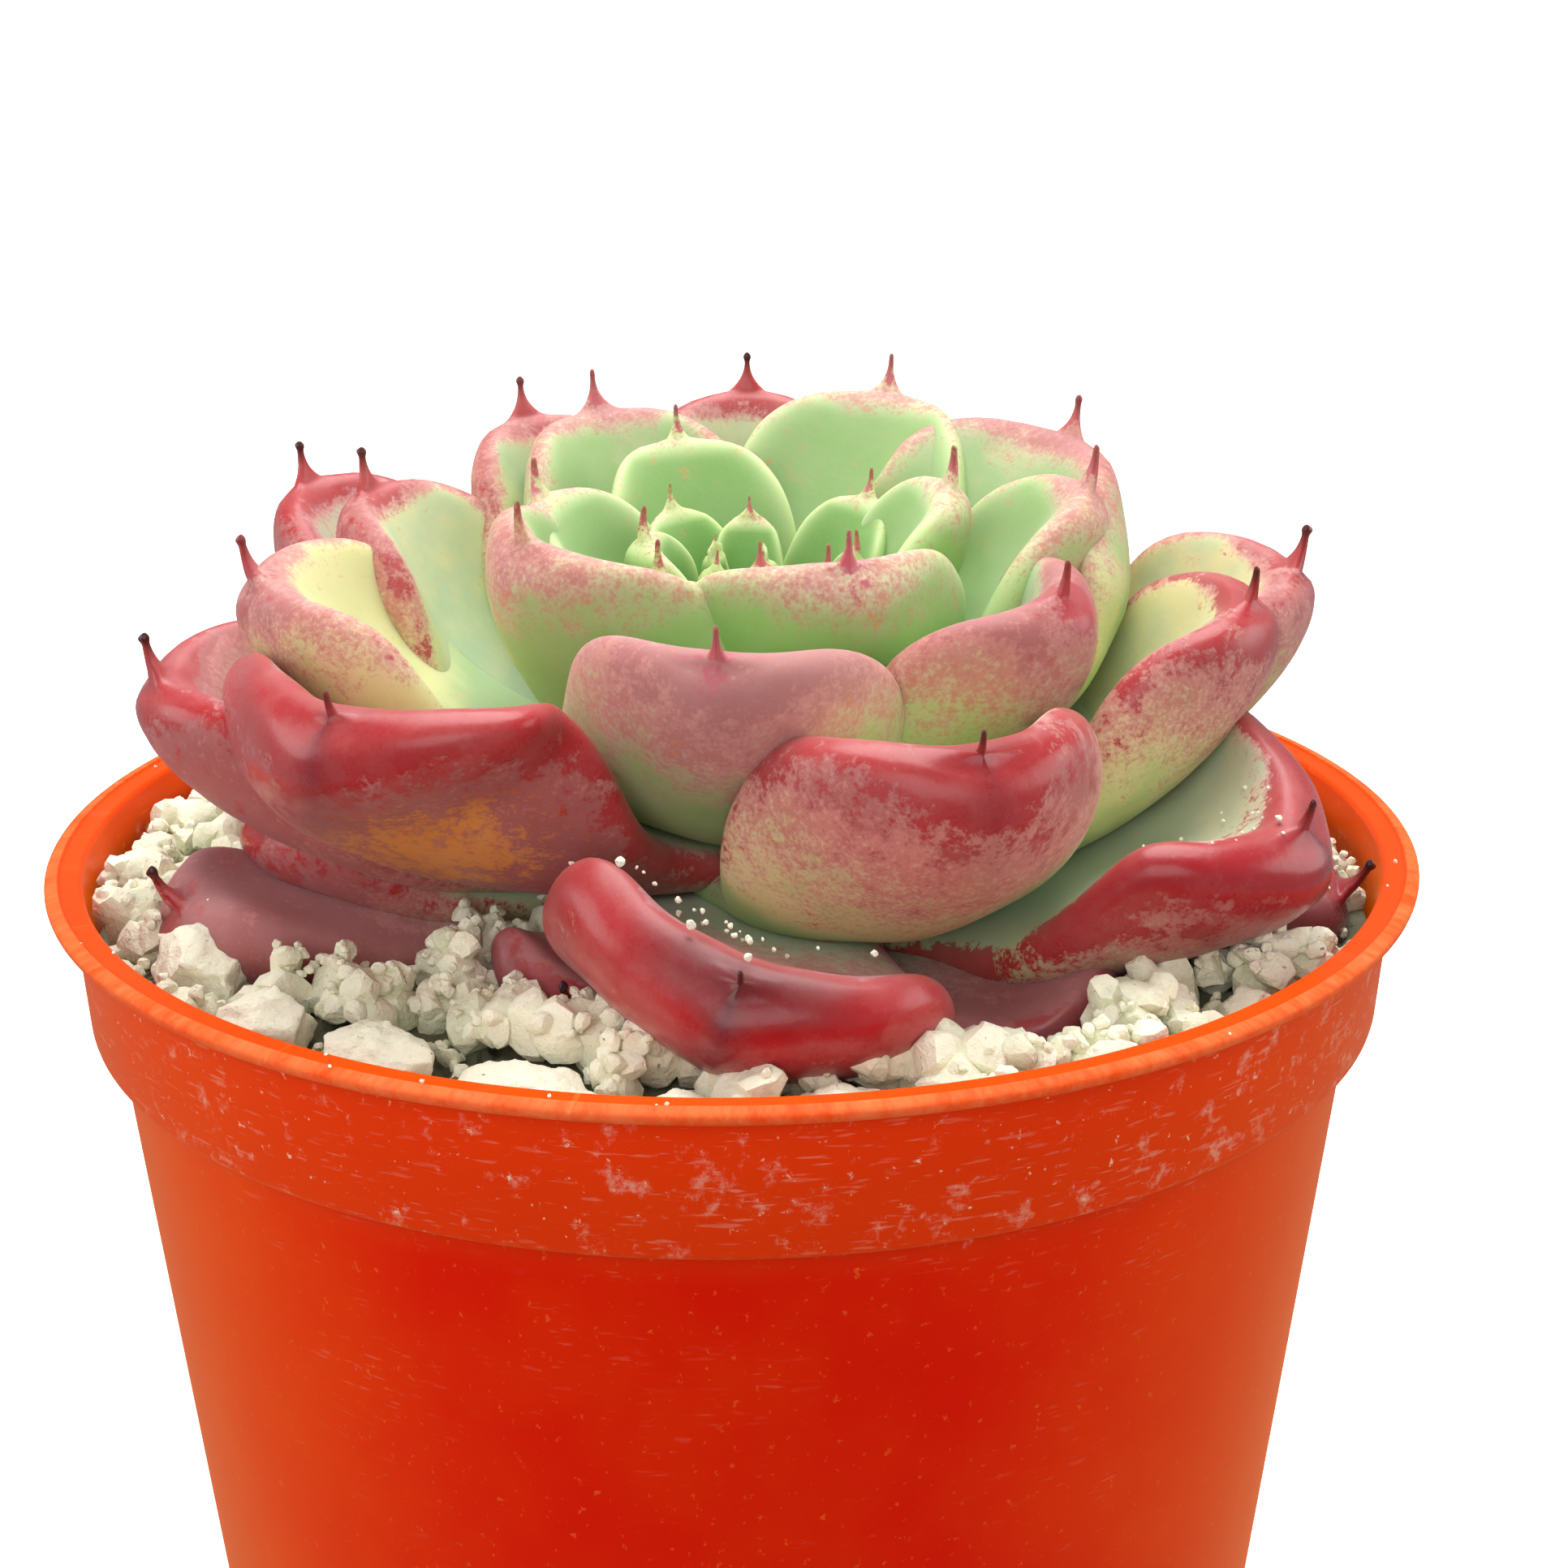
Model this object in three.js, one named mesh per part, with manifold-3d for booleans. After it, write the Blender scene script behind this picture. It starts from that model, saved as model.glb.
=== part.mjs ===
// A rosette succulent growing in a round plastic nursery pot that is filled with pumice grit.
// Millimetres, +Z up. The origin is the centre of the pot's underside.
import * as THREE from 'three';
import { mergeVertices } from 'three/addons/utils/BufferGeometryUtils.js';
import Module from 'manifold-3d';

const wasm = await Module();
wasm.setup();

// ---- Driving dimensions ----

// Pot: a thin tapered tub with a stepped band under a flat lip.
const POT_HEIGHT = 80;
const RIM_RADIUS = 45;
const LIP_WIDTH = 2.4;
const LIP_THICKNESS = 0.9;
const WALL = 0.8;
const BAND_DEPTH = 9.6;
const BAND_TAPER = 0.5;
const BAND_STEP = 1.5;
const BODY_TAPER_DEG = 5.25;
const FLOOR = 1.2;
const BASE_CHAMFER = 1.2;
const DRAIN_RADIUS = 4;
const DRAIN_RING_RADIUS = 21;
const DRAIN_COUNT = 5;

// Grit: it stops a little below the rim and heaps up slightly towards the plant.
const GRIT_BELOW_RIM = 4.6;
const GRIT_HEAP = 1;
const GRIT_ROUGHNESS = 0.6;
const STONE_SINK = 0.35;
const STONE_ROUGHNESS = 0.16;

// Rosette: a short leaning stem with leaves set round it in a spiral.
const LEAF_COUNT = 45;
const DIVERGENCE_DEG = 138.7;
const SPIRAL_START_DEG = 13;
const ROSETTE_LEAN_DEG = 7;
const ROSETTE_OFFSET_X = 0.8;
const ROSETTE_OFFSET_Y = 1;
const ROSETTE_BELOW_RIM = 5;
const CROWN_RISE = 30.5;
const BUD_RISE = 24;
const SKIRT_RISE = 8.5;
const STEM_LENGTH = 17.5;
const STEM_FOOT_RADIUS = 5.5;
const STEM_TOP_RADIUS = 2.2;
const STEM_ROOT_DEPTH = 9;

// Leaf: a thick spoon with a blunt outline and a fine spine at its tip.
const LEAF_WIDTH = 20.5;
const BUD_WIDTH = 2;
const LEAF_THICKNESS = 5;
const BUD_THICKNESS = 1.4;
const YOUNG_CUP_DEG = 48;
const OLD_CUP_DEG = 70;
const YOUNG_MOST_CUP_DEG = 75;
const OLD_MOST_CUP_DEG = 95;
const SPINE_LENGTH = 3;

// The leaf's middle line bends at an elbow, set by its shares of the leaf's reach and rise.
const YOUNG_ELBOW = { out: 0.62, up: 0.15 };
const OLD_ELBOW = { out: 0.78, up: 0.05 };
const SPINE_UPTURN = { out: -0.1, up: 0.3 };
const BUD_SPINE = 0.5;

// How a leaf changes with age, which runs from 0 at the bud to 1 at the oldest leaf.
const CROWN_AGE = 0.32;
const OPENING_AGE = 0.36;
const OPEN_AGE = 0.68;
const RIPE_AGE = 0.41;
const THICK_AGE = 0.5;
const CUPPING_AGE = 0.25;
const CUPPED_AGE = 0.6;
const REACH_POWER = 0.85;
const SINK_POWER = 2.2;
const ROOT_POWER = 1.15;

// The blade's outline: where it is widest, how blunt it is past that, and its shares at the root.
const WIDEST = 0.62;
const BLUNTNESS = 2.5;
const ROOT_WIDTH = 0.3;
const ROOT_THICKNESS = 0.42;

// The blade's section: the shares of thickness on its inner and outer face, the keel that thickens the
// outer one, and the powers that fill out its sides and faces.
const INNER_FACE = 0.42;
const OUTER_FACE = 0.58;
const KEEL = 0.18;
const SIDE_POWER = 0.85;
const FACE_POWER = 0.8;
const TIP_FLESH_POWER = 0.62;

// Where along the blade its cup, its roll and its sideways swing set in and fade.
const CUP_START = 0.25;
const ROLL_END = 0.77;
const SWING_FULL = 0.6;
const SWING_FADE = 0.7;
const STEM_WRAP = 0.8;
const LEAST_WRAP_RADIUS = 1.5;

// Clearances between neighbours.
const GAP = 0.3;
const LEAF_TO_WALL = 0.9;

// Facets.
const ROUND_SEGMENTS = 40;
const GRIT_SEGMENTS = 28;
const LEAF_SIDES = 9;
const BUD_SIDES = 7;
const BUD_RANKS = 13;

// ---- Sizes that follow from them ----

const { degToRad: radians, lerp } = THREE.MathUtils;

const POT_MOUTH_RADIUS = RIM_RADIUS - LIP_WIDTH;
const BAND_RADIUS = POT_MOUTH_RADIUS + WALL;
const BAND_FOOT_RADIUS = BAND_RADIUS - BAND_TAPER;
const BAND_FOOT = POT_HEIGHT - BAND_DEPTH;
const BODY_RADIUS = BAND_FOOT_RADIUS - BAND_STEP;
const BODY_TAPER = Math.tan(radians(BODY_TAPER_DEG));
const BASE_RADIUS = BODY_RADIUS - BAND_FOOT * BODY_TAPER;
const GRIT_TOP = POT_HEIGHT - GRIT_BELOW_RIM;
const ROSETTE_REACH = POT_MOUTH_RADIUS - LEAF_TO_WALL - ROSETTE_OFFSET_X;

// How single leaves stray from the even spiral, innermost leaf first: degrees round the stem, then
// millimetres of reach, rise and width, degrees of roll about the leaf's own length, degrees of cup
// at its tip, and millimetres that its blade swings sideways.
const STRAYS = new Map([
  [0, [0, 1, 0.5, 0, 0, 0, 0]],
  [1, [0, 0.5, 0.5, 0.5, 0, 0, 0]],
  [2, [0, 0, 0.5, 1, 0, 0, 0]],
  [3, [19, 2.5, 0.5, 2, 0, 0, 0]],
  [4, [26, -2.5, -0.5, 1, 0, 0, 0]],
  [5, [0, 0.5, 0, 1.5, 0, 0, 0]],
  [6, [0, 1, -0.5, 1, 0, 0, 0]],
  [7, [14, -2.5, -0.5, 0, 0, 0, 0]],
  [8, [0, 1.5, -1, -0.5, 0, 0, 0]],
  [9, [4, -4.5, -1.5, -1, 0, 0, 0]],
  [10, [-18, -2.5, -2, -3, 0, 0, 0]],
  [11, [7.5, 4.5, -1, 0.5, 0, 0, 0]],
  [12, [0, -4, -2.5, -2.5, 0, 0, 0]],
  [13, [-10, -1.5, 0, -3, 0, 0, 0]],
  [14, [4, -1, -2, -3, 0, 0, 0]],
  [15, [0, -2, -0.5, 3, -5, -18, 1.5]],
  [16, [-7, 8, 0, 0, 0, 0, 0]],
  [17, [3.5, -2, 0, 4.5, 0, -8, -1]],
  [18, [14, 3, 0, -3.5, 0, 0, 0]],
  [19, [-12, 4, -0.5, -1, 0, 0, 0]],
  [20, [-1.5, 2.5, -2, 1.5, -3, -15, 0]],
  [21, [-14, 5, 0, 8.5, 0, 0, -3.5]],
  [22, [6, 8.5, -2.5, 1.5, 0, 0, 0]],
  [23, [2, -1, -1.5, 3, 4, -8, 1]],
  [24, [23.5, 3, 0, -3, 0, 0, 0]],
  [25, [-13, 8.5, -3.5, 9.5, 10, -25, -5]],
  [26, [-20, 9.5, -2.5, 2.5, 0, 0, 0]],
  [27, [0, 0.5, 0, -1.5, 0, 0, 0]],
  [28, [-3, 3, -3, 4.5, -5, 8, 1]],
  [29, [14, 0.5, 2.5, -0.5, 0, 0, 0]],
  [30, [-22, 8, -4, 3.5, 0, 0, 0]],
  [31, [-6, 1.5, 0.5, 1, 0, 0, 0]],
  [32, [22, 3, 2.5, -0.5, 0, 0, 0]],
  [33, [-1.5, 3, -8, 4, -20, -22, -0.5]],
  [34, [0, 2, 0, 0, 0, 0, 0]],
  [35, [0, -0.5, -4, 0, 0, 0, 0]],
  [36, [1.5, 4, -4, 5.5, 6, 2, 1.5]],
  [37, [0, -0.5, 1, 0, 0, 0, 0]],
  [38, [4, -8, -10, -5.5, 0, 0, 0]],
  [39, [0, 0, -2, 0.5, 0, 0, 0]],
  [40, [0, -1.5, 0, 0.5, 0, 0, 0]],
  [41, [0, -5.5, -7, -2.5, 0, 0, 0]],
  [42, [0, -2.5, -1, 0.5, 0, 0, 0]],
  [43, [-15, -1, -1, -5.5, 4, -40, 0]],
  [44, [-10, 0, -2, -2.5, 0, 0, 0]],
]);

// Leaves whose spine is worn short, and its length.
const SHORT_SPINES = new Map([
  [15, 2.4], [17, 2.6], [20, 2.2], [23, 2.2], [25, 1.7], [28, 1.5], [31, 2.2], [33, 1], [36, 2], [41, 1],
]);

// The loose stones on top of the grit: degrees round the pot, gap to the wall, length, width, height.
const STONES = [
  [-152, 1.5, 9, 7, 6],
  [-136, 1, 7, 6, 5.5],
  [-123, 1.5, 8, 7, 5.5],
  [-108, 1, 10, 7, 4.5],
  [-95, 1.5, 5.5, 4.5, 4],
  [-82, 1, 6.5, 5, 4.5],
  [-40, 1, 5, 4, 4],
  [30, 1, 7, 5.5, 4.5],
  [95, 1, 8, 6, 5],
  [150, 1, 6.5, 5.5, 4.5],
];

// ---- Materials ----

function material(colour, roughness) {
  return new THREE.MeshStandardMaterial({ color: colour, roughness, metalness: 0, flatShading: true });
}

const orangePlastic = material('#d8400f', 0.42);
const pumice = material('#dcdccb', 0.95);
const stemSkin = material('#8f8a5c', 0.8);

// Young leaves are green, older ones redden, and the lowest are dark maroon.
function leafSkin(age) {
  const green = new THREE.Color('#a5cf86');
  const red = new THREE.Color('#c23a48');
  const maroon = new THREE.Color('#6e1f33');
  const colour = green.lerp(red, smooth((age - 0.3) / 0.5)).lerp(maroon, smooth((age - 0.82) / 0.18));
  return material(colour, 0.5);
}

// ---- Helpers ----

function smooth(x) {
  return THREE.MathUtils.smoothstep(x, 0, 1);
}

// Merges shared corners and drops the flattened triangles at poles, so that the surface is closed.
function closedSurface(geometry) {
  const bare = geometry.clone();
  bare.deleteAttribute('normal');
  bare.deleteAttribute('uv');
  const merged = mergeVertices(bare);
  const corners = merged.index.array;
  const kept = [];
  for (let i = 0; i < corners.length; i += 3) {
    const [a, b, c] = corners.slice(i, i + 3);
    if (a !== b && b !== c && c !== a) kept.push(a, b, c);
  }
  merged.setIndex(kept);
  return merged;
}

function solidOf(geometry) {
  const surface = closedSurface(geometry);
  return new wasm.Manifold(new wasm.Mesh({
    numProp: 3,
    vertProperties: new Float32Array(surface.attributes.position.array),
    triVerts: new Uint32Array(surface.index.array),
  }));
}

function geometryOf(solid) {
  const { vertProperties, triVerts } = solid.getMesh();
  const geometry = new THREE.BufferGeometry();
  geometry.setAttribute('position', new THREE.BufferAttribute(vertProperties, 3));
  geometry.setIndex(new THREE.BufferAttribute(triVerts, 1));
  geometry.computeVertexNormals();
  return geometry;
}

// Where neighbours press into a piece, it is what is left of it in one body.
function trimmed(solid, neighbours) {
  const parts = solid.subtract(neighbours).decompose();
  return parts.reduce((a, b) => (b.volume() > a.volume() ? b : a));
}

function meshOf(name, solid, skin) {
  const mesh = new THREE.Mesh(geometryOf(solid), skin);
  mesh.name = name;
  return mesh;
}

// A lathe's own axis is Y, so it is stood up on Z.
function turned(profile, segments) {
  const points = profile.map(([radius, height]) => new THREE.Vector2(radius, height));
  return new THREE.LatheGeometry(points, segments).rotateX(Math.PI / 2);
}

// ---- Pot ----

function potProfile() {
  return [
    [0, 0],
    [BASE_RADIUS - BASE_CHAMFER, 0],
    [BASE_RADIUS + BASE_CHAMFER * BODY_TAPER, BASE_CHAMFER],
    [BODY_RADIUS, BAND_FOOT],
    [BAND_FOOT_RADIUS, BAND_FOOT],
    [BAND_RADIUS, POT_HEIGHT - LIP_THICKNESS],
    [RIM_RADIUS, POT_HEIGHT - LIP_THICKNESS],
    [RIM_RADIUS, POT_HEIGHT],
    ...potInside(0),
  ];
}

// The inside of the pot from its mouth down to the middle of its floor, drawn in by a clearance.
function potInside(clearance) {
  const shelf = BAND_FOOT + WALL + clearance;
  const floor = FLOOR + clearance;
  const inner = WALL + clearance;
  return [
    [POT_MOUTH_RADIUS - clearance, POT_HEIGHT],
    [BAND_FOOT_RADIUS - inner, shelf],
    [BODY_RADIUS - inner, shelf],
    [BASE_RADIUS + floor * BODY_TAPER - inner, floor],
    [0, floor],
  ];
}

function drainHoles() {
  const holes = [];
  for (let i = 0; i < DRAIN_COUNT; i += 1) {
    const angle = (i + 0.5) * 2 * Math.PI / DRAIN_COUNT;
    const hole = new THREE.CylinderGeometry(DRAIN_RADIUS, DRAIN_RADIUS, 4 * FLOOR, 24).rotateX(Math.PI / 2);
    hole.translate(DRAIN_RING_RADIUS * Math.cos(angle), DRAIN_RING_RADIUS * Math.sin(angle), 0);
    holes.push(solidOf(hole));
  }
  return wasm.Manifold.union(holes);
}

function nurseryPot() {
  return solidOf(turned(potProfile(), ROUND_SEGMENTS)).subtract(drainHoles());
}

// ---- Grit ----

// A cheap lumpy field, between -1 and 1, that gives the grit and its stones their bumps.
function lumps(x, y, z) {
  const wave = Math.sin(1.3 * x + 0.6 * y + 0.4) * Math.cos(1.1 * y - 0.7 * x + 0.5 * z);
  return wave * Math.cos(0.8 * z + 0.3 * x);
}

function potInnerRadiusAtGrit() {
  const share = (GRIT_TOP - BAND_FOOT) / BAND_DEPTH;
  return lerp(BAND_FOOT_RADIUS, BAND_RADIUS, share) - WALL;
}

function gritBed() {
  const edge = potInnerRadiusAtGrit() - GAP;
  const wallSide = potInside(GAP).slice(1);
  const rings = 5;
  const top = [];
  for (let i = 0; i <= rings; i += 1) {
    const radius = edge * i / rings;
    top.push([radius, GRIT_TOP + GRIT_HEAP * (1 - smooth(i / rings))]);
  }
  const bed = turned([...wallSide.reverse(), ...top.reverse()], GRIT_SEGMENTS);
  const place = bed.attributes.position;
  for (let i = 0; i < place.count; i += 1) {
    const height = place.getZ(i);
    const atTop = height > GRIT_TOP - GAP ? 1 : 0;
    place.setZ(i, height + atTop * GRIT_ROUGHNESS * lumps(place.getX(i), place.getY(i), 0));
  }
  return solidOf(bed);
}

function loosePumice([angleDeg, wallGap, length, width, height], number, grow) {
  const stone = new THREE.DodecahedronGeometry(1, 0);
  const place = stone.attributes.position;
  const corner = new THREE.Vector3();
  for (let i = 0; i < place.count; i += 1) {
    corner.fromBufferAttribute(place, i);
    corner.multiplyScalar(1 + STONE_ROUGHNESS * lumps(4 * corner.x + number, 4 * corner.y, 4 * corner.z));
    corner.multiply(new THREE.Vector3(length / 2 + grow, width / 2 + grow, height / 2 + grow));
    place.setXYZ(i, corner.x, corner.y, corner.z);
  }
  const angle = radians(angleDeg);
  const radius = potInnerRadiusAtGrit() - wallGap - width * 0.6;
  const middle = GRIT_TOP + height * (0.5 - STONE_SINK);
  stone.rotateZ(angle + Math.PI / 2);
  stone.translate(radius * Math.cos(angle), radius * Math.sin(angle), middle);
  return solidOf(stone);
}

// ---- Stem ----

function stemRadiusAt(height) {
  return lerp(STEM_FOOT_RADIUS, STEM_TOP_RADIUS, THREE.MathUtils.clamp(height / STEM_LENGTH, 0, 1));
}

function stem(grow) {
  return solidOf(turned([
    [0, -STEM_ROOT_DEPTH - grow],
    [STEM_FOOT_RADIUS * 0.6 + grow, -STEM_ROOT_DEPTH - grow],
    [STEM_FOOT_RADIUS + grow, -1],
    [STEM_FOOT_RADIUS + grow, 0],
    [STEM_TOP_RADIUS + grow, STEM_LENGTH],
    [STEM_TOP_RADIUS * 0.5 + grow, STEM_LENGTH + 1 + grow],
    [0, STEM_LENGTH + 1.3 + grow],
  ], 20));
}

// ---- Leaves ----

// The size and place of one leaf, from its rank in the spiral: 0 is the innermost.
function leafSize(rank) {
  const age = rank / (LEAF_COUNT - 1);
  const [turn, reach, rise, width, roll, cup, skew] = STRAYS.get(rank);
  const sunk = Math.max(0, (age - OPENING_AGE) / (1 - OPENING_AGE)) ** SINK_POWER;
  const open = smooth((age - OPENING_AGE) / (OPEN_AGE - OPENING_AGE));
  const cupped = smooth((age - CUPPING_AGE) / (CUPPED_AGE - CUPPING_AGE));
  const ripe = smooth(age / RIPE_AGE);
  const crown = lerp(BUD_RISE, CROWN_RISE, smooth(age / CROWN_AGE));
  return {
    angle: radians(SPIRAL_START_DEG + DIVERGENCE_DEG * rank + turn),
    reach: ROSETTE_REACH * age ** REACH_POWER + reach,
    rise: crown - (CROWN_RISE - SKIRT_RISE) * sunk + rise,
    width: lerp(BUD_WIDTH, LEAF_WIDTH, ripe) + width,
    thickness: lerp(BUD_THICKNESS, LEAF_THICKNESS, smooth(age / THICK_AGE)),
    roll: radians(roll),
    cup: radians(lerp(YOUNG_CUP_DEG, OLD_CUP_DEG, cupped) + cup),
    mostCup: radians(lerp(YOUNG_MOST_CUP_DEG, OLD_MOST_CUP_DEG, open)),
    skew,
    root: STEM_LENGTH * (1 - age) ** ROOT_POWER,
    elbowOut: lerp(YOUNG_ELBOW.out, OLD_ELBOW.out, open),
    elbowUp: lerp(YOUNG_ELBOW.up, OLD_ELBOW.up, open),
    spine: (SHORT_SPINES.get(rank) ?? SPINE_LENGTH) * lerp(BUD_SPINE, 1, ripe),
    sides: rank < BUD_RANKS ? BUD_SIDES : LEAF_SIDES,
  };
}

// The leaf's middle line, in the upright plane through the stem: x is reach and y is rise.
function leafMidline(size) {
  const root = new THREE.Vector2(stemRadiusAt(size.root) + GAP, size.root);
  const tip = new THREE.Vector2(size.reach, size.rise);
  const elbow = new THREE.Vector2(lerp(root.x, tip.x, size.elbowOut), lerp(root.y, tip.y, size.elbowUp));
  const upturn = new THREE.Vector2(SPINE_UPTURN.out, SPINE_UPTURN.up);
  const spineWay = tip.clone().sub(elbow).normalize().add(upturn).normalize();
  const spineFoot = tip.clone().addScaledVector(spineWay, -size.spine);
  return { blade: new THREE.QuadraticBezierCurve(root, elbow, spineFoot), spineWay, spineFoot, root, tip };
}

// Stations along the blade: share of its length, of its full width and of its full thickness.
function bladeStations() {
  const stations = [];
  for (const x of [0, 0.35, 0.7, 1]) {
    const swell = Math.sin(x * Math.PI / 2) ** 1.4;
    const flesh = Math.sin(Math.min(1, 1.1 * x) * Math.PI / 2);
    stations.push([x * WIDEST, lerp(ROOT_WIDTH, 1, swell), lerp(ROOT_THICKNESS, 1, flesh)]);
  }
  for (const degrees of [28, 50, 67]) {
    const on = Math.sin(radians(degrees)) ** (2 / BLUNTNESS);
    const close = Math.cos(radians(degrees));
    stations.push([lerp(WIDEST, 1, on), close ** (2 / BLUNTNESS), close ** TIP_FLESH_POWER]);
  }
  return stations;
}

// Stations along the spine: share of its length and its radius in millimetres.
const SPINE_STATIONS = [[0.1, 1.25], [0.42, 0.6], [1, 0.25]];

// One ring of a leaf's skin, as [reach, sideways, rise] corners round its middle point. The flat
// section is bent round an arc by its cup, then rolled about the leaf's length and swung sideways.
function leafRing(sides, section, grow) {
  const { middle, way, halfWidth, thickness, cup = 0, roll = 0, swing = 0 } = section;
  const ring = [];
  const bend = cup / Math.max(halfWidth, 0.5);
  for (let i = 0; i < sides; i += 1) {
    const angle = i * 2 * Math.PI / sides;
    const across = Math.cos(angle);
    const depth = Math.sin(angle);
    const keel = 1 + KEEL * (1 - Math.abs(across)) ** 2;
    const share = depth > 0 ? INNER_FACE : OUTER_FACE * keel;
    const side = (halfWidth + grow) * Math.sign(across) * Math.abs(across) ** SIDE_POWER;
    const face = (share * thickness + grow) * Math.sign(depth) * Math.abs(depth) ** FACE_POWER;
    const u = bend > 0.001 ? (1 / bend - face) * Math.sin(side * bend) : side;
    const v = bend > 0.001 ? 1 / bend - (1 / bend - face) * Math.cos(side * bend) : face;
    const sideways = u * Math.cos(roll) - v * Math.sin(roll) + swing;
    const inwards = u * Math.sin(roll) + v * Math.cos(roll);
    ring.push([middle.x - inwards * way.y, sideways, middle.y + inwards * way.x]);
  }
  return ring;
}

function leafRings(size, grow) {
  const { blade, spineWay, spineFoot, root, tip } = leafMidline(size);
  const rings = [];
  for (const [t, widthShare, thicknessShare] of bladeStations()) {
    const middle = blade.getPoint(t);
    const way = blade.getTangent(t);
    const halfWidth = size.width / 2 * widthShare;
    const thickness = size.thickness * thicknessShare;
    const wrap = STEM_WRAP * halfWidth * Math.max(0, way.y) / Math.max(middle.x, LEAST_WRAP_RADIUS);
    const curl = size.cup * smooth((t - CUP_START) / (1 - CUP_START)) * widthShare;
    const cup = Math.min(wrap + curl, size.mostCup);
    const roll = size.roll * smooth(t / ROLL_END);
    const swing = size.skew * smooth(t / SWING_FULL) * (1 - smooth((t - SWING_FADE) / (1 - SWING_FADE)));
    if (t === 0) middle.addScaledVector(way, -grow);
    rings.push(leafRing(size.sides, { middle, way, halfWidth, thickness, cup, roll, swing }, grow));
  }
  for (const [share, radius] of SPINE_STATIONS) {
    const middle = spineFoot.clone().addScaledVector(spineWay, size.spine * share);
    const round = radius * Math.min(1, size.width / 10);
    const section = { middle, way: spineWay, halfWidth: round, thickness: 2 * round };
    rings.push(leafRing(size.sides, section, grow));
  }
  const poles = [
    root.clone().addScaledVector(blade.getTangent(0), -grow),
    tip.clone().addScaledVector(spineWay, grow),
  ];
  return { rings, poles };
}

// The skin is a sphere's grid: one pole at the leaf's root, one at the end of its spine.
function leafSolid(rank, grow) {
  const size = leafSize(rank);
  const { rings, poles } = leafRings(size, grow);
  const skin = new THREE.SphereGeometry(1, size.sides, rings.length + 1);
  const place = skin.attributes.position;
  const columns = size.sides + 1;
  for (let i = 0; i < place.count; i += 1) {
    const row = Math.floor(i / columns);
    const column = (size.sides - i % columns) % size.sides;
    if (row === 0) place.setXYZ(i, poles[0].x, 0, poles[0].y);
    else if (row > rings.length) place.setXYZ(i, poles[1].x, 0, poles[1].y);
    else place.setXYZ(i, ...rings[row - 1][column]);
  }
  return solidOf(skin.rotateZ(size.angle));
}

// ---- Assembly ----

function leafName(rank) {
  return `leaf_${String(rank + 1).padStart(2, '0')}`;
}

// Leaves are trimmed from the bud outwards, each by the stem and by the leaves inside it.
function rosette() {
  const group = new THREE.Group();
  group.rotation.x = radians(ROSETTE_LEAN_DEG);
  group.position.set(ROSETTE_OFFSET_X, ROSETTE_OFFSET_Y, POT_HEIGHT - ROSETTE_BELOW_RIM);
  group.add(meshOf('stem', stem(0), stemSkin));
  let taken = stem(GAP);
  for (let rank = 0; rank < LEAF_COUNT; rank += 1) {
    const leaf = trimmed(leafSolid(rank, 0), taken);
    group.add(meshOf(leafName(rank), leaf, leafSkin(rank / (LEAF_COUNT - 1))));
    taken = taken.add(leafSolid(rank, GAP));
  }
  group.updateMatrix();
  return { group, room: taken.transform(group.matrix.elements) };
}

function pottedSucculent() {
  const object = new THREE.Group();
  const { group, room } = rosette();
  let taken = room;
  object.add(meshOf('nursery_pot', nurseryPot(), orangePlastic));
  object.add(group);
  STONES.forEach((size, i) => {
    const stone = trimmed(loosePumice(size, i, 0), taken);
    object.add(meshOf(`pumice_stone_${String(i + 1).padStart(2, '0')}`, stone, pumice));
    taken = taken.add(loosePumice(size, i, GAP));
  });
  object.add(meshOf('grit_bed', trimmed(gritBed(), taken), pumice));
  return object;
}

export default pottedSucculent();
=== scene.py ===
"""A rosette succulent in a red-orange nursery pot, finished around its CAD frame. Metres, +Z up."""

import math

import bmesh
import bpy
import numpy as np
from mathutils import Matrix, Vector
from mathutils.bvhtree import BVHTree


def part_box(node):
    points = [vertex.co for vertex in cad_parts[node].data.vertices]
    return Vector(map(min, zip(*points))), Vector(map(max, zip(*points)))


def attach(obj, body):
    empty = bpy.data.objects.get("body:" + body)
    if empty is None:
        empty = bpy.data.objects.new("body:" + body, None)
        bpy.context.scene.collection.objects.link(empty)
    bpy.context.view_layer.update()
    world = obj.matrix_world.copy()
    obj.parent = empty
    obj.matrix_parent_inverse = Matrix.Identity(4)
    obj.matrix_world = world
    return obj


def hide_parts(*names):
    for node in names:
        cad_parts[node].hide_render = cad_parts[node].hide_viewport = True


bl_info = {
    "name": "Potted Succulent",
    "version": (1, 0, 0),
    "blender": (4, 5, 0),
    "location": "3D View > Sidebar > Succulent",
    "description": "Finishes a rosette succulent in a plastic nursery pot",
    "category": "Add Mesh",
}

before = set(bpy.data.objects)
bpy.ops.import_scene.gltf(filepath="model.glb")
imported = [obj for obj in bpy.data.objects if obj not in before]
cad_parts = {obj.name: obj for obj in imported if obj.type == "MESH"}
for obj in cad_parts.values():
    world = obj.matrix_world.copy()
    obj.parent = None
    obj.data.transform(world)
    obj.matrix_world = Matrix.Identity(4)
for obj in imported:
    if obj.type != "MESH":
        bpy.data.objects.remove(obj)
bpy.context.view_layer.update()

MM = 0.001
LEAF_COUNT = sum(name.startswith("leaf_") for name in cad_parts)
STONES = sorted(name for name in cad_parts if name.startswith("pumice_stone_"))
POT_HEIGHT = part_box("nursery_pot")[1].z
RIM_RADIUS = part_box("nursery_pot")[1].x
BED_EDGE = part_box("grit_bed")[1].x


# ---- Small sums ----


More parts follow.
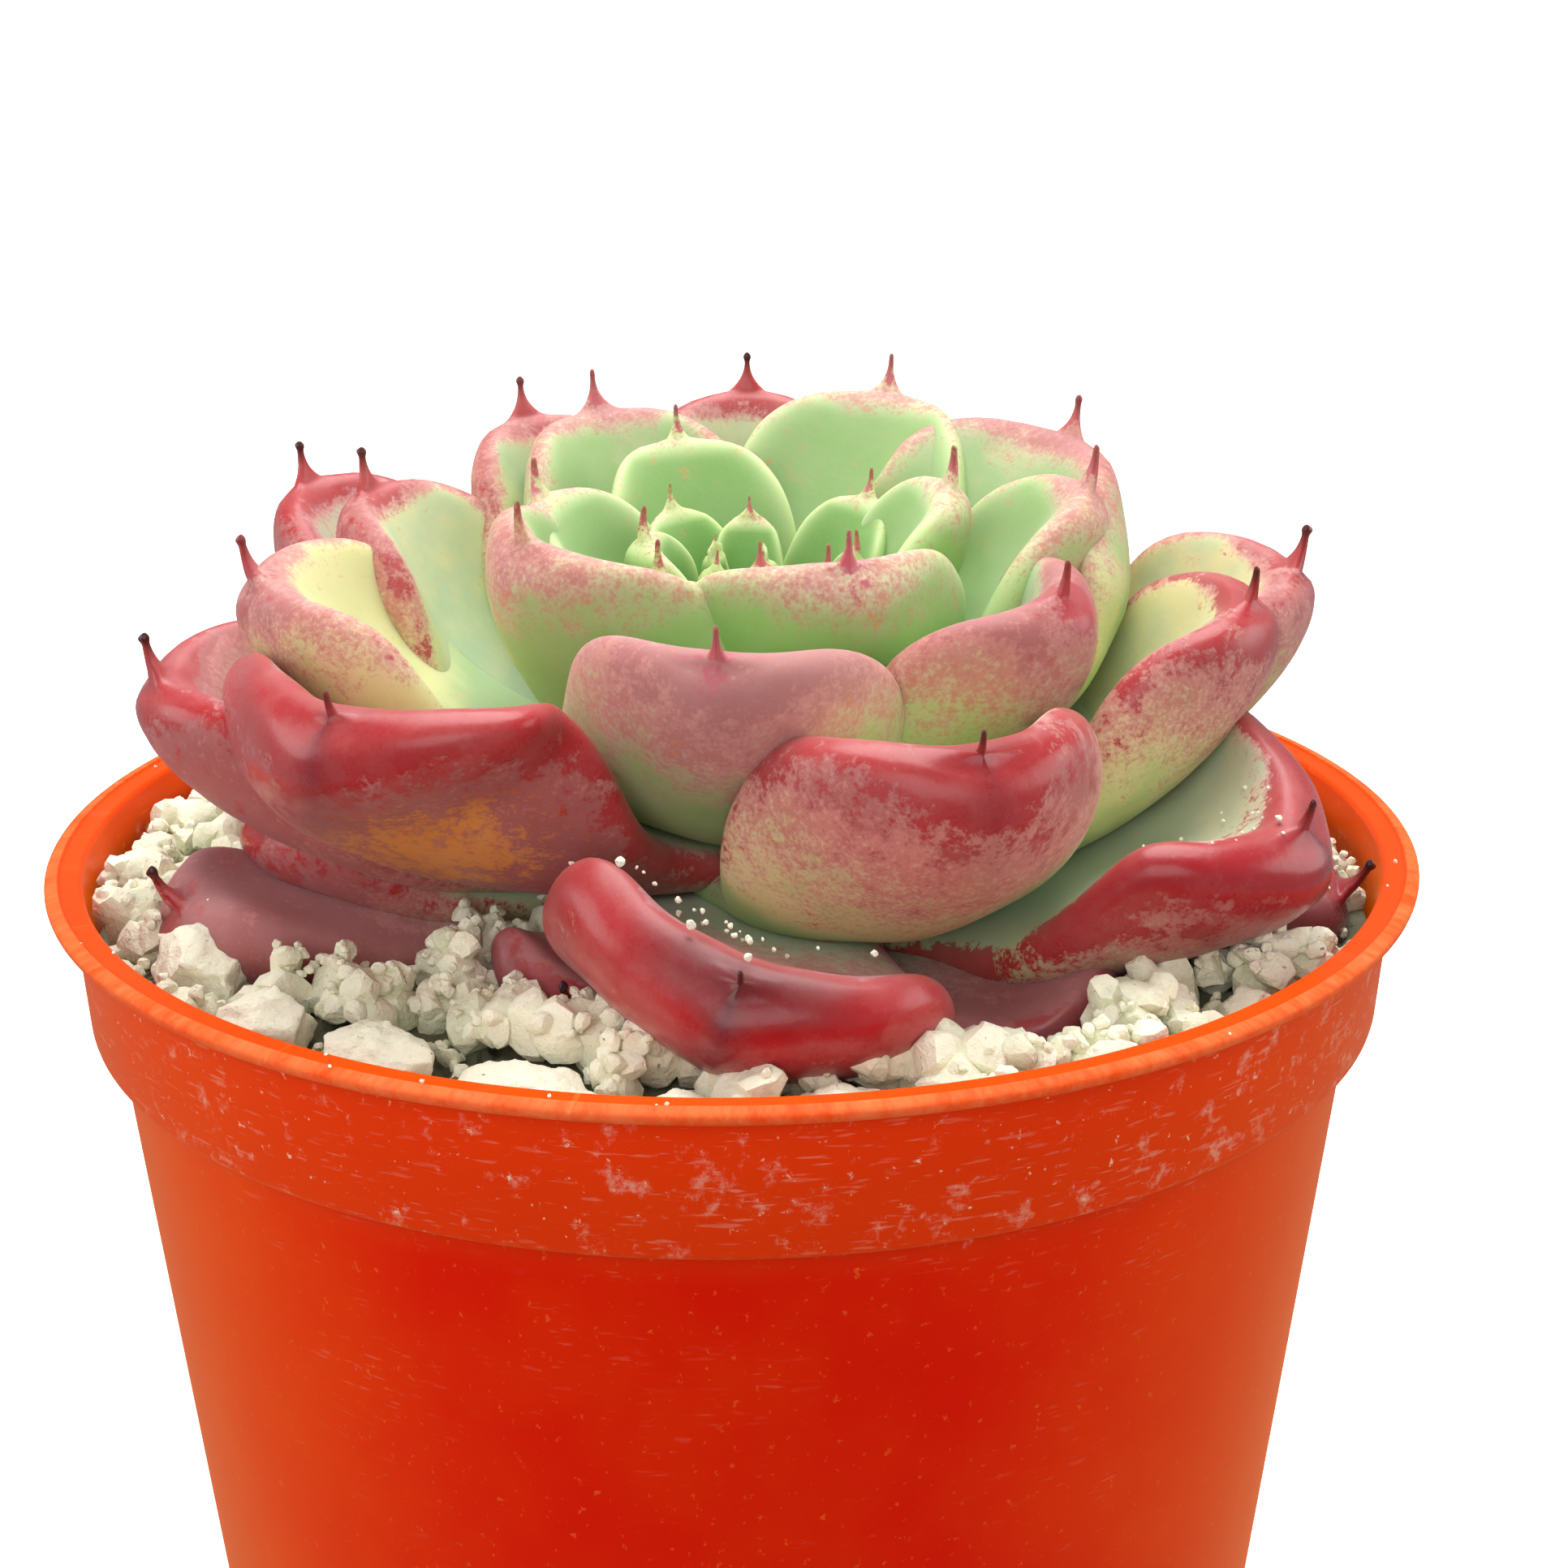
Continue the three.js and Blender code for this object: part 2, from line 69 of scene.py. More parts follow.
def linear(hex_colour):
    """An sRGB hex colour as linear red, green, blue and alpha."""
    channels = [int(hex_colour[i : i + 2], 16) / 255 for i in (1, 3, 5)]
    return tuple(c / 12.92 if c <= 0.04045 else ((c + 0.055) / 1.055) ** 2.4 for c in channels) + (1.0,)


def smooth(x):
    """An S-curve from 0 to 1."""
    x = np.clip(x, 0, 1)
    return x * x * (3 - 2 * x)


def ease(x, start, end):
    """An S-curve that is 0 up to start and 1 from end on."""
    return smooth((x - start) / (end - start))


def lerp(a, b, share):
    return a + (b - a) * share


def unit(v):
    return v / np.maximum(np.linalg.norm(v, axis=-1, keepdims=True), 1e-9)


def soft_max(a, b, radius):
    """The larger of two values, with the corner between them rounded."""
    return (a + b + np.sqrt((a - b) ** 2 + radius**2)) / 2


# ---- Settings a user would change ----


def count_setting(name, description, count):
    return bpy.props.IntProperty(name=name, description=description, default=count)


def length_setting(name, description, size):
    return bpy.props.FloatProperty(name=name, description=description, default=size, unit="LENGTH")


def angle_setting(name, description, degrees):
    size = math.radians(degrees)
    return bpy.props.FloatProperty(name=name, description=description, default=size, subtype="ANGLE")


def colour_setting(name, description, hex_colour):
    default = linear(hex_colour)
    return bpy.props.FloatVectorProperty(
        name=name, description=description, default=default, size=4, subtype="COLOR"
    )


class PotSettings(bpy.types.PropertyGroup):
    lip_width: length_setting("Lip width", "Width of the flat lip round the mouth", 2.4 * MM)
    lip_thickness: length_setting("Lip thickness", "Thickness of the lip", 0.9 * MM)
    wall: length_setting("Wall", "Thickness of the moulded wall", 0.8 * MM)
    band_depth: length_setting("Band depth", "Depth of the wider band under the lip", 9.6 * MM)
    band_taper: length_setting("Band taper", "How far the band draws in at its foot", 0.5 * MM)
    band_step: length_setting("Band step", "Step from the band to the body", 1.5 * MM)
    body_taper: angle_setting("Body taper", "Slope of the body's wall", 5.25)
    floor: length_setting("Floor", "Thickness of the pot's floor", 1.2 * MM)
    drain_count: count_setting("Drain holes", "How many holes the floor has", 5)
    drain_radius: length_setting("Drain hole radius", "Radius of each hole in the floor", 4 * MM)
    drain_ring: length_setting("Drain ring", "Radius that the holes lie on", 21 * MM)
    plastic: colour_setting("Plastic", "Colour of the plastic", "#FF6400")


class GritSettings(bpy.types.PropertyGroup):
    grains: count_setting("Grains", "How many loose grains lie on the bed", 2600)
    smallest: length_setting("Smallest grain", "Size of the finest grains", 0.7 * MM)
    largest: length_setting("Largest grain", "Size of the coarsest loose grains", 5.2 * MM)
    crumbs: count_setting("Crumbs", "How many crumbs lie on the leaves and the lip", 160)
    seed: count_setting("Seed", "Picks another scatter of grains", 7)
    pumice: colour_setting("Pumice", "Colour of clean pumice", "#FBFAE0")


class RosetteSettings(bpy.types.PropertyGroup):
    lean: angle_setting("Lean", "How far the rosette leans forward", 7)
    offset: bpy.props.FloatVectorProperty(
        name="Offset",
        description="Place of the stem's collar",
        size=3,
        unit="LENGTH",
        default=(0.8 * MM, 1 * MM, POT_HEIGHT - 5 * MM),
    )
    stem_length: length_setting("Stem length", "Stem above the grit", 17.5 * MM)
    stem_foot: length_setting("Stem foot", "Radius of the stem at the grit", 5.5 * MM)
    stem_top: length_setting("Stem top", "Radius of the stem at the bud", 2.2 * MM)
    leaf_width: length_setting("Leaf width", "Width of a grown leaf", 20.5 * MM)
    leaf_thickness: length_setting("Leaf thickness", "Thickness of a grown leaf", 5 * MM)
    spine_length: length_setting("Spine length", "Length of the spine at a leaf's tip", 3 * MM)
    young_cup: angle_setting("Young cup", "Curl of a young leaf's sides", 48)
    old_cup: angle_setting("Old cup", "Curl of an old leaf's sides", 70)


class StageSettings(bpy.types.PropertyGroup):
    lens: bpy.props.FloatProperty(name="Lens", description="Focal length in millimetres", default=54.04)
    distance: length_setting("Distance", "Camera's distance in front of the pot's middle", 150.27 * MM)
    height: length_setting("Height", "Camera's height above the rim", 52.65 * MM)
    pitch: angle_setting("Pitch", "How far the camera looks down", 18.57)
    yaw: angle_setting("Yaw", "How far the camera looks to the right", 1.25)


# ---- Meshes ----


def deselect():
    """Leaves object mode's selection empty, because an operator acts on all that is selected."""
    if bpy.context.object and bpy.context.object.mode != "OBJECT":
        bpy.ops.object.mode_set(mode="OBJECT")
    bpy.ops.object.select_all(action="DESELECT")


def only(piece):
    deselect()
    piece.select_set(True)
    bpy.context.view_layer.objects.active = piece
    return piece


def named(name):
    """The new primitive, renamed."""
    piece = bpy.context.object
    piece.name = name
    piece.data.name = name
    return piece


def points_of(piece):
    points = np.empty(len(piece.data.vertices) * 3)
    piece.data.vertices.foreach_get("co", points)
    return points.reshape(-1, 3)


def move_points(piece, points):
    piece.data.vertices.foreach_set("co", np.ascontiguousarray(points, dtype=np.float32).ravel())
    piece.data.update()


def paint(piece, **values):
    """Stores a number for each vertex, which the material reads by its name."""
    for name, numbers in values.items():
        attribute = piece.data.attributes.new(name, "FLOAT", "POINT")
        full = np.broadcast_to(np.asarray(numbers, dtype=np.float32), (len(piece.data.vertices),))
        attribute.data.foreach_set("value", np.ascontiguousarray(full))


def finish_piece(piece, material, replaced):
    """Gives a finished piece its material and hands it to the frame."""
    piece.data.materials.clear()
    piece.data.materials.append(material)
    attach(piece, "root")
    if replaced:
        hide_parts(*replaced)
    deselect()


def turned(name, profile, segments):
    """A solid of revolution: a filled circle, extruded and scaled from station to station of its profile."""
    deselect()
    radius, height = profile[0]
    bpy.ops.mesh.primitive_circle_add(
        vertices=segments, radius=radius, fill_type="NGON", location=(0, 0, height)
    )
    piece = named(name)
    bpy.ops.object.transform_apply(location=True, rotation=True, scale=True)
    bpy.ops.object.mode_set(mode="EDIT")
    bpy.ops.mesh.select_all(action="SELECT")
    for next_radius, next_height in profile[1:]:
        bpy.ops.mesh.extrude_region_move(TRANSFORM_OT_translate={"value": (0, 0, next_height - height)})
        share = next_radius / radius
        bpy.ops.transform.resize(value=(share, share, 1), center_override=(0, 0, 0))
        radius, height = next_radius, next_height
    bpy.ops.mesh.select_all(action="SELECT")
    bpy.ops.mesh.normals_make_consistent(inside=False)
    bpy.ops.object.mode_set(mode="OBJECT")
    return piece


def rounded(profile, radius, steps=4):
    """The profile with each of its corners turned into an arc."""
    out = [profile[0]]
    for before, corner, after in zip(profile, profile[1:], profile[2:]):
        corner = Vector(corner)
        back = Vector(before) - corner
        on = Vector(after) - corner
        cut = min(radius, back.length * 0.45, on.length * 0.45)
        start = corner + back.normalized() * cut
        end = corner + on.normalized() * cut
        for step in range(steps + 1):
            share = step / steps
            bent = start.lerp(corner, share).lerp(corner.lerp(end, share), share)
            out.append((bent.x, bent.y))
    out.append(profile[-1])
    return out


def divided(profile, spacing):
    """The profile with its long straights cut into stations."""
    out = [profile[0]]
    for (r0, z0), (r1, z1) in zip(profile, profile[1:]):
        count = max(1, round(math.hypot(r1 - r0, z1 - z0) / spacing))
        out += [(lerp(r0, r1, i / count), lerp(z0, z1, i / count)) for i in range(1, count + 1)]
    return out


def apply_modifier(piece, kind, **settings):
    only(piece)
    modifier = piece.modifiers.new(kind.title(), kind)
    for name, value in settings.items():
        setattr(modifier, name, value)
    bpy.ops.object.modifier_apply(modifier=modifier.name)


# ---- Materials ----


def add(tree, kind, inputs=None, **settings):
    """Adds a node with its settings. Inputs are values, or the sockets that they are linked to."""
    made = tree.nodes.new(kind)
    for name, value in settings.items():
        setattr(made, name, value)
    for name, value in (inputs or {}).items():
        if isinstance(value, bpy.types.NodeSocket):
            tree.links.new(value, made.inputs[name])
        else:
            made.inputs[name].default_value = value
    return made


def new_material(name):
    material = bpy.data.materials.new(name)
    material.use_nodes = True
    material.node_tree.nodes.clear()
    return material, material.node_tree


def per(size_mm):
    """The scale at which a pattern on metres repeats about every size_mm millimetres."""
    return 1000 / size_mm


def frayed(tree, mask, noises, low, high):
    """A mask whose edge is broken up by noises, each with its amount, and sharpened between low and high."""
    for noise, amount in noises:
        centred = add(tree, "ShaderNodeMath", {0: noise, 1: 0.5}, operation="SUBTRACT").outputs[0]
        rougher = {0: centred, 1: amount, 2: mask}
        mask = add(tree, "ShaderNodeMath", rougher, operation="MULTIPLY_ADD").outputs[0]
    limits = {"Value": mask, "From Min": low, "From Max": high}
    return add(tree, "ShaderNodeMapRange", limits, interpolation_type="SMOOTHSTEP").outputs["Result"]


def layered(tree, colour, layers):
    """Lays colours one over another, each through its mask at its own strength."""
    for mask, strength, over in layers:
        share = add(tree, "ShaderNodeMath", {0: mask, 1: strength}, operation="MULTIPLY").outputs[0]
        colour = add(tree, "ShaderNodeMix", {0: share, 6: colour, 7: over}, data_type="RGBA").outputs[2]
    return colour


def finish_material(material, shader, bump=None):
    """Ends a material with its surface. The bump is a height, its strength and its distance."""
    tree = material.node_tree
    if bump:
        height, strength, distance = bump
        pressed = {"Height": height, "Strength": strength, "Distance": distance}
        shader["Normal"] = add(tree, "ShaderNodeBump", pressed).outputs["Normal"]
    surface = add(tree, "ShaderNodeBsdfPrincipled", shader).outputs[0]
    add(tree, "ShaderNodeOutputMaterial", {"Surface": surface})
    return material


LEAF_PAINTS = (
    "age", "glow", "cream", "blush", "crimson", "maroon", "bloom", "spine", "grey", "amber", "scar"
)
POT_PAINTS = ("worn", "dusty", "inside", "lip", "band", "faded")


def leaf_skin():
    """Succulent leaf skin: watery flesh under a waxy bloom that rubs off to a gloss. Light enters it, so thin
    edges glow, and a young leaf's margins are also painted paler as a painted glow. The reds come as fine
    freckles that run together towards the tip and the margins."""
    material, tree = new_material("succulent_leaf_skin")
    where = add(tree, "ShaderNodeTexCoord").outputs["Object"]
    painted = {
        name: add(tree, "ShaderNodeAttribute", attribute_name=name).outputs["Fac"] for name in LEAF_PAINTS
    }
    broad, patch, speck, freckle = (
        add(
            tree,
            "ShaderNodeTexNoise",
            {"Vector": where, "Scale": per(size_mm), "Detail": detail, "Roughness": roughness},
        ).outputs["Fac"]
        for size_mm, detail, roughness in (
            (7.0, 2.0, 0.55),
            (2.6, 3.0, 0.55),
            (0.9, 3.0, 0.65),
            (0.3, 3.0, 0.7),
        )
    )
    cream = frayed(tree, painted["cream"], [(broad, 1.0), (patch, 0.5)], 0.3, 0.9)
    veil = frayed(tree, painted["blush"], [(broad, 0.6), (patch, 0.8)], 0.2, 1.1)
    pink_edge = [(broad, 0.6), (patch, 0.7), (speck, 1.1), (freckle, 1.6)]
    pink = frayed(tree, painted["blush"], pink_edge, 0.36, 1.05)
    wine_edge = [(broad, 0.6), (patch, 1.6), (speck, 1.2), (freckle, 1.4)]
    wine = frayed(tree, painted["blush"], wine_edge, 0.95, 1.45)
    crimson_edge = [(broad, 0.6), (patch, 1.1), (speck, 1.0), (freckle, 0.8)]
    crimson = frayed(tree, painted["crimson"], crimson_edge, 0.44, 0.68)
    amber = frayed(tree, painted["amber"], [(patch, 1.6), (speck, 2.0), (freckle, 1.6)], 0.3, 1.0)
    bloom = frayed(tree, painted["bloom"], [(broad, 0.5), (patch, 0.5), (freckle, 0.25)], 0.25, 1.0)
    # A young leaf's crimson is a rose pink.
    ripe = add(tree, "ShaderNodeMapRange", {"Value": painted["age"], "From Min": 0.3, "From Max": 0.55})
    reds = layered(tree, linear("#C4506A"), [(ripe.outputs["Result"], 1.0, linear("#B00414"))])
    colour = layered(
        tree,
        linear("#72B04A"),
        [
            (painted["age"], 1.0, linear("#BACC8C")),
            (painted["grey"], 1.0, linear("#C2D2BC")),
            (cream, 0.85, linear("#EAE29A")),
            # Painted light: a young leaf's margins and tip are painted a pale green glow.
            (painted["glow"], 1.0, linear("#D6ECA8")),
            (veil, 0.55, linear("#E2A8A8")),
            (pink, 0.62, linear("#C2405A")),
            (wine, 0.5, linear("#8E1A30")),
            (amber, 0.75, linear("#EC9A20")),
            (crimson, 0.92, reds),
            (painted["maroon"], 1.0, linear("#5C0C24")),
            (painted["scar"], 0.75, linear("#6A2420")),
            (bloom, 0.18, linear("#EADFDC")),
            (painted["spine"], 1.0, linear("#35181A")),
        ],
    )
    # The crimson is rubbed to a gloss, and the bloom is matt.
    rubbed = {"Value": crimson, "To Min": 0.5, "To Max": 0.24}
    gloss = add(tree, "ShaderNodeMapRange", rubbed).outputs["Result"]
    rough = add(tree, "ShaderNodeMath", {0: bloom, 1: 0.22, 2: gloss}, operation="MULTIPLY_ADD").outputs[0]
    height = add(tree, "ShaderNodeMath", {0: speck, 1: 0.6, 2: broad}, operation="MULTIPLY_ADD").outputs[0]
    shader = {
        "Base Color": colour,
        "Roughness": rough,
        "IOR": 1.42,
        "Subsurface Weight": 0.28,
        "Subsurface Radius": (1.0, 0.55, 0.25),
        "Subsurface Scale": 2.2 * MM,
        "Sheen Weight": 0.06,
        "Sheen Roughness": 0.5,
    }
    return finish_material(material, shader, (height, 0.35, 0.12 * MM))


def pot_plastic(colour):
    """Injection-moulded polypropylene: a satin, slightly see-through red-orange, scuffed pale where the band
    and the lip have rubbed, with grit dust and hair-fine scratches round the wall. Its front is painted a
    deeper red as painted shade and its sides and back orange as painted light, and its inside is painted
    darker as painted shade."""
    material, tree = new_material("moulded_polypropylene")
    where = add(tree, "ShaderNodeTexCoord").outputs["Object"]
    axes = add(tree, "ShaderNodeSeparateXYZ", {0: where})
    back = add(tree, "ShaderNodeMath", {0: axes.outputs["Y"], 1: -1.0}, operation="MULTIPLY").outputs[0]
    turn = add(tree, "ShaderNodeMath", {0: axes.outputs["X"], 1: back}, operation="ARCTAN2").outputs[0]
    around = add(tree, "ShaderNodeMath", {0: turn, 1: RIM_RADIUS}, operation="MULTIPLY").outputs[0]
    wall = add(tree, "ShaderNodeCombineXYZ", {"X": around, "Y": axes.outputs["Z"]}).outputs[0]
    painted = {
        name: add(tree, "ShaderNodeAttribute", attribute_name=name).outputs["Fac"] for name in POT_PAINTS
    }
    broad, patch, speck = (
        add(
            tree,
            "ShaderNodeTexNoise",
            {"Vector": wall, "Scale": per(size_mm), "Detail": detail, "Roughness": roughness},
        ).outputs["Fac"]
        for size_mm, detail, roughness in ((16.0, 3.0, 0.55), (2.6, 6.0, 0.72), (0.8, 3.0, 0.7))
    )

    # Each set of scratches is a stretched noise that runs its own way, drawn coarser than a real hairline so
    # that it shows.
    scratches = 0.0
    for angle, offset, width_mm in ((0.35, 0.0, 0.315), (-0.8, 3.1, 0.455), (1.3, 7.7, 0.385)):
        run = {"Vector": wall, "Rotation": (0, 0, angle), "Location": (offset, 0, 0), "Scale": (0.14, 1, 1)}
        along = add(tree, "ShaderNodeMapping", run).outputs[0]
        noise = {"Vector": along, "Scale": per(width_mm), "Detail": 2.0, "Roughness": 0.4}
        streak = add(tree, "ShaderNodeTexNoise", noise).outputs["Fac"]
        limits = {"Value": streak, "From Min": 0.66, "From Max": 0.72}
        line = add(tree, "ShaderNodeMapRange", limits).outputs["Result"]
        scratches = add(tree, "ShaderNodeMath", {0: scratches, 1: line}, operation="MAXIMUM").outputs[0]
    handled = frayed(tree, painted["dusty"], [(broad, 1.2), (patch, 0.6)], 0.3, 0.9)
    scratches = add(tree, "ShaderNodeMath", {0: scratches, 1: handled}, operation="MULTIPLY").outputs[0]
    dust = frayed(tree, painted["dusty"], [(broad, 0.8), (patch, 2.2), (speck, 0.8)], 0.78, 1.2)
    fleck = frayed(tree, painted["dusty"], [(speck, 2.6)], 1.05, 1.25)
    worn = frayed(tree, painted["worn"], [(patch, 0.9), (speck, 0.7)], 0.45, 0.95)
    # Painted light and shade: the front is painted a deeper red, and the sides and back turn to the plastic's
    # orange, with a little broad noise.
    lit_sides = {0: frayed(tree, broad, [], 0.3, 0.75), 1: 0.2, 2: painted["faded"]}
    faded = add(tree, "ShaderNodeMath", lit_sides, operation="MULTIPLY_ADD").outputs[0]
    shade = layered(
        tree,
        linear("#EA1600"),
        [
            (faded, 0.8, colour),
            (painted["band"], 1.0, linear("#F0480C")),
            # Painted shade: the inside of the pot is painted a darker brown-orange.
            (painted["inside"], 1.0, linear("#B83E04")),
            (painted["lip"], 1.0, linear("#F24A0C")),
            (dust, 0.55, linear("#F2C0A6")),
            (scratches, 0.35, linear("#F5B498")),
            (frayed(tree, speck, [], 0.62, 0.7), 0.4, linear("#FF7A34")),
            (worn, 0.4, linear("#F79A62")),
            (fleck, 0.7, linear("#F0DCCB")),
        ],
    )
    scuffed = add(tree, "ShaderNodeMath", {0: dust, 1: worn}, operation="MAXIMUM").outputs[0]
    scuffs = {"Value": scuffed, "To Min": 0.33, "To Max": 0.68}
    rough = add(tree, "ShaderNodeMapRange", scuffs).outputs["Result"]
    dents = {0: scratches, 1: -0.5, 2: patch}
    height = add(tree, "ShaderNodeMath", dents, operation="MULTIPLY_ADD").outputs[0]
    shader = {
        "Base Color": shade,
        "Roughness": rough,
        "IOR": 1.49,
        "Specular IOR Level": 0.05,
        "Sheen Weight": 0.5,
        "Sheen Roughness": 0.35,
        "Sheen Tint": linear("#FF7A0A"),
        "Subsurface Weight": 0.2,
        "Subsurface Radius": (1.0, 0.25, 0.05),
        "Subsurface Scale": 3.0 * MM,
    }
    return finish_material(material, shader, (height, 0.3, 0.08 * MM))


def pumice_stone(colour):
    """Crushed pumice: chalky off-white foam rock, matt and pitted, with patches of grey-green dust and a
    few dark mineral specks. The bed under the loose grains is painted a dark grey-green, a painted shade
    in the gaps between them."""
    material, tree = new_material("crushed_pumice")
    where = add(tree, "ShaderNodeTexCoord").outputs["Object"]
    tone = add(tree, "ShaderNodeAttribute", attribute_name="tone").outputs["Fac"]
    broad, pits, dark = (
        add(
            tree,
            "ShaderNodeTexNoise",
            {"Vector": where, "Scale": per(size_mm), "Detail": detail, "Roughness": roughness},
        ).outputs["Fac"]
        for size_mm, detail, roughness in ((3.5, 3.0, 0.55), (0.7, 4.0, 0.7), (0.5, 2.0, 0.5))
    )
    shade = layered(
        tree,
        colour,
        [
            (frayed(tree, tone, [(broad, 0.9), (pits, 0.7)], 0.35, 1.1), 0.65, linear("#D4D8B0")),
            (frayed(tree, pits, [], 0.6, 0.75), 0.3, linear("#9C9C80")),
            (frayed(tree, dark, [], 0.71, 0.76), 0.7, linear("#4E4E44")),
            # Painted shade: only the bed reaches this, painted a dark grey-green for the shade in the gaps
            # between grains.
            (frayed(tree, tone, [], 0.85, 1.0), 1.0, linear("#6E6E56")),
        ],
    )
    height = add(tree, "ShaderNodeMath", {0: dark, 1: 0.5, 2: pits}, operation="MULTIPLY_ADD").outputs[0]
    shader = {
        "Base Color": shade,
        "Roughness": 0.92,
        "IOR": 1.5,
        "Subsurface Weight": 0.08,
        "Subsurface Radius": (1.0, 0.9, 0.7),
        "Subsurface Scale": 0.8 * MM,
    }
    return finish_material(material, shader, (height, 0.8, 0.35 * MM))


def stem_bark():
    """Corky succulent stem: dry, dull green-brown skin with rings of old leaf scars."""
    material, tree = new_material("corky_stem")
    where = add(tree, "ShaderNodeTexCoord").outputs["Object"]
    scars = add(tree, "ShaderNodeMapping", {"Vector": where, "Scale": (0.5, 0.5, 2.5)}).outputs[0]
    noise = {"Vector": scars, "Scale": per(2.0), "Detail": 4.0, "Roughness": 0.55}
    patch = add(tree, "ShaderNodeTexNoise", noise).outputs["Fac"]
    shade = layered(tree, linear("#7C7450"), [(patch, 1.0, linear("#A9A873"))])
    return finish_material(material, {"Base Color": shade, "Roughness": 0.8}, (patch, 0.7, 0.3 * MM))


def white_paper(name, glow):
    """Matt white paper, lit from behind so that it stays white in the pot's shade."""
    material, _ = new_material(name)
    shader = {
        "Base Color": linear("#F4F4F4"),
        "Roughness": 0.9,
        "Emission Color": linear("#FFFFFF"),
        "Emission Strength": glow,
    }
    return finish_material(material, shader)


# ---- Leaves ----

# Ages, from 0 at the bud to 1 at the oldest leaf, between which a leaf opens out, curls its sides and
# reddens. It is as wide as it gets at RIPE_AGE, and as thick at THICK_AGE.
OPENING_AGE, OPEN_AGE = 0.36, 0.68
CUPPING_AGE, CUPPED_AGE = 0.25, 0.6
REDDENING_AGE, RED_AGE = 0.45, 0.65
RIPE_AGE, THICK_AGE = 0.41, 0.5

# The bud's leaves, then the shares and powers that shape every leaf. The spine's radius is in millimetres, and
# the spine of a leaf that is narrower than FULL_SPINE_WIDTH is smaller in proportion.
BUD_WIDTH, BUD_THICKNESS, BUD_SPINE = 2 * MM, 1.4 * MM, 0.5
ROOT_POWER = 1.15
GAP_TO_STEM = 0.3 * MM
SPINE_UPTURN = np.array([-0.1, 0.3])
WIDEST, BLUNTNESS = 0.62, 2.6
ROOT_WIDTH, ROOT_THICKNESS = 0.3, 0.42
TIP_FLESH_POWER = 0.31
SPINE_RADIUS = 0.14
FULL_SPINE_WIDTH = 12 * MM
INNER_FACE, OUTER_FACE = 0.84, 1.16

# How single leaves stray from their age's width, in millimetres.
STRAY_WIDTHS = {
    1: 0.5, 2: 1, 3: 2, 4: 1, 5: 1.5, 6: 1, 8: -0.5, 9: -1, 10: -3, 11: 0.5,
    12: -2.5, 13: -3, 14: -3, 15: 3, 17: 4.5, 18: -3.5, 19: -1, 20: 1.5, 21: 8.5, 22: 1.5,
    23: 3, 24: -3, 25: 9.5, 26: 2.5, 27: -1.5, 28: 4.5, 29: -0.5, 30: 3.5, 31: 1, 32: -0.5,
    33: 4, 36: 5.5, 38: -5.5, 39: 0.5, 40: 0.5, 41: -2.5, 42: 0.5, 43: -5.5, 44: -2.5,
}

# How they stray from its curl: degrees of roll about the leaf's own length, degrees of cup at its tip, and
# millimetres that its blade swings sideways.
STRAY_CURLS = {
    15: (-5, -18, 1.5),
    17: (0, -8, -1),
    20: (-3, -15, 0),
    21: (0, 0, -3.5),
    23: (4, -8, 1),
    25: (10, -25, -5),
    28: (-5, 0, 1),
    33: (-20, -22, -0.5),
    36: (6, 2, 1.5),
    43: (4, -40, 0),
}

# Leaves whose spine is worn short, and its length in millimetres.
SHORT_SPINES = {15: 2.4, 17: 2.6, 20: 2.2, 23: 2.2, 25: 1.7, 28: 1.5, 31: 2.2, 33: 1.0, 36: 2.0, 41: 1.0}

# Leaves that have swollen with water, and by how much.
FAT_LEAVES = {25: 1.2, 28: 1.2, 33: 1.22, 36: 1.2, 43: 1.3}

# How a leaf reddens with age, from the bud at 0 to the oldest at 1. Each row is the share of the blade, from
# its tip, that blushes pink, then how much crimson, cream, maroon, bloom and grey it shows.
AGES = (0.0, 0.22, 0.34, 0.46, 0.58, 0.66, 0.78, 0.86, 1.0)
LOOKS = {
    "blush": (0.0, 0.02, 0.06, 0.16, 0.24, 0.36, 0.55, 1.0, 1.2),
    "crimson": (0.0, 0.0, 0.05, 0.15, 0.4, 0.6, 0.85, 0.6, 0.45),
    "cream": (0.0, 0.0, 0.10, 0.45, 0.75, 0.65, 0.4, 0.1, 0.0),
    "maroon": (0.0, 0.0, 0.0, 0.0, 0.0, 0.0, 0.0, 0.45, 0.7),
    "bloom": (0.35, 0.40, 0.5, 0.5, 0.45, 0.45, 0.4, 0.40, 0.35),
    "grey": (0.0, 0.0, 0.0, 0.1, 0.5, 0.75, 0.85, 0.8, 0.6),
}

# Leaves whose colouring strays from their age's. Amber is a patch that only one of them has.
STRAY_LOOKS = {
    15: {"blush": 0.08, "crimson": 0.0},
    17: {"blush": 0.12, "crimson": 0.0},
    20: {"blush": 0.3, "crimson": 0.1, "cream": 0.3, "bloom": 0.7},
    22: {"cream": 1.0, "blush": 0.16},
    23: {"blush": 0.26, "crimson": 0.3, "cream": 0.1},
    25: {"crimson": 1.3, "blush": 1.0, "amber": 1.0, "cream": 0.6},
    28: {"crimson": 0.68, "blush": 0.4, "cream": 0.95},
    30: {"blush": 0.75, "crimson": 0.8},
    31: {"cream": 0.9, "blush": 0.3, "crimson": 0.6},
    33: {"crimson": 1.7, "blush": 1.0, "maroon": 0.0, "bloom": 0.5},
    36: {"crimson": 1.3, "blush": 0.5, "cream": 0.5},
    43: {"crimson": 0.3, "blush": 1.2, "maroon": 0.25, "bloom": 0.5},
}

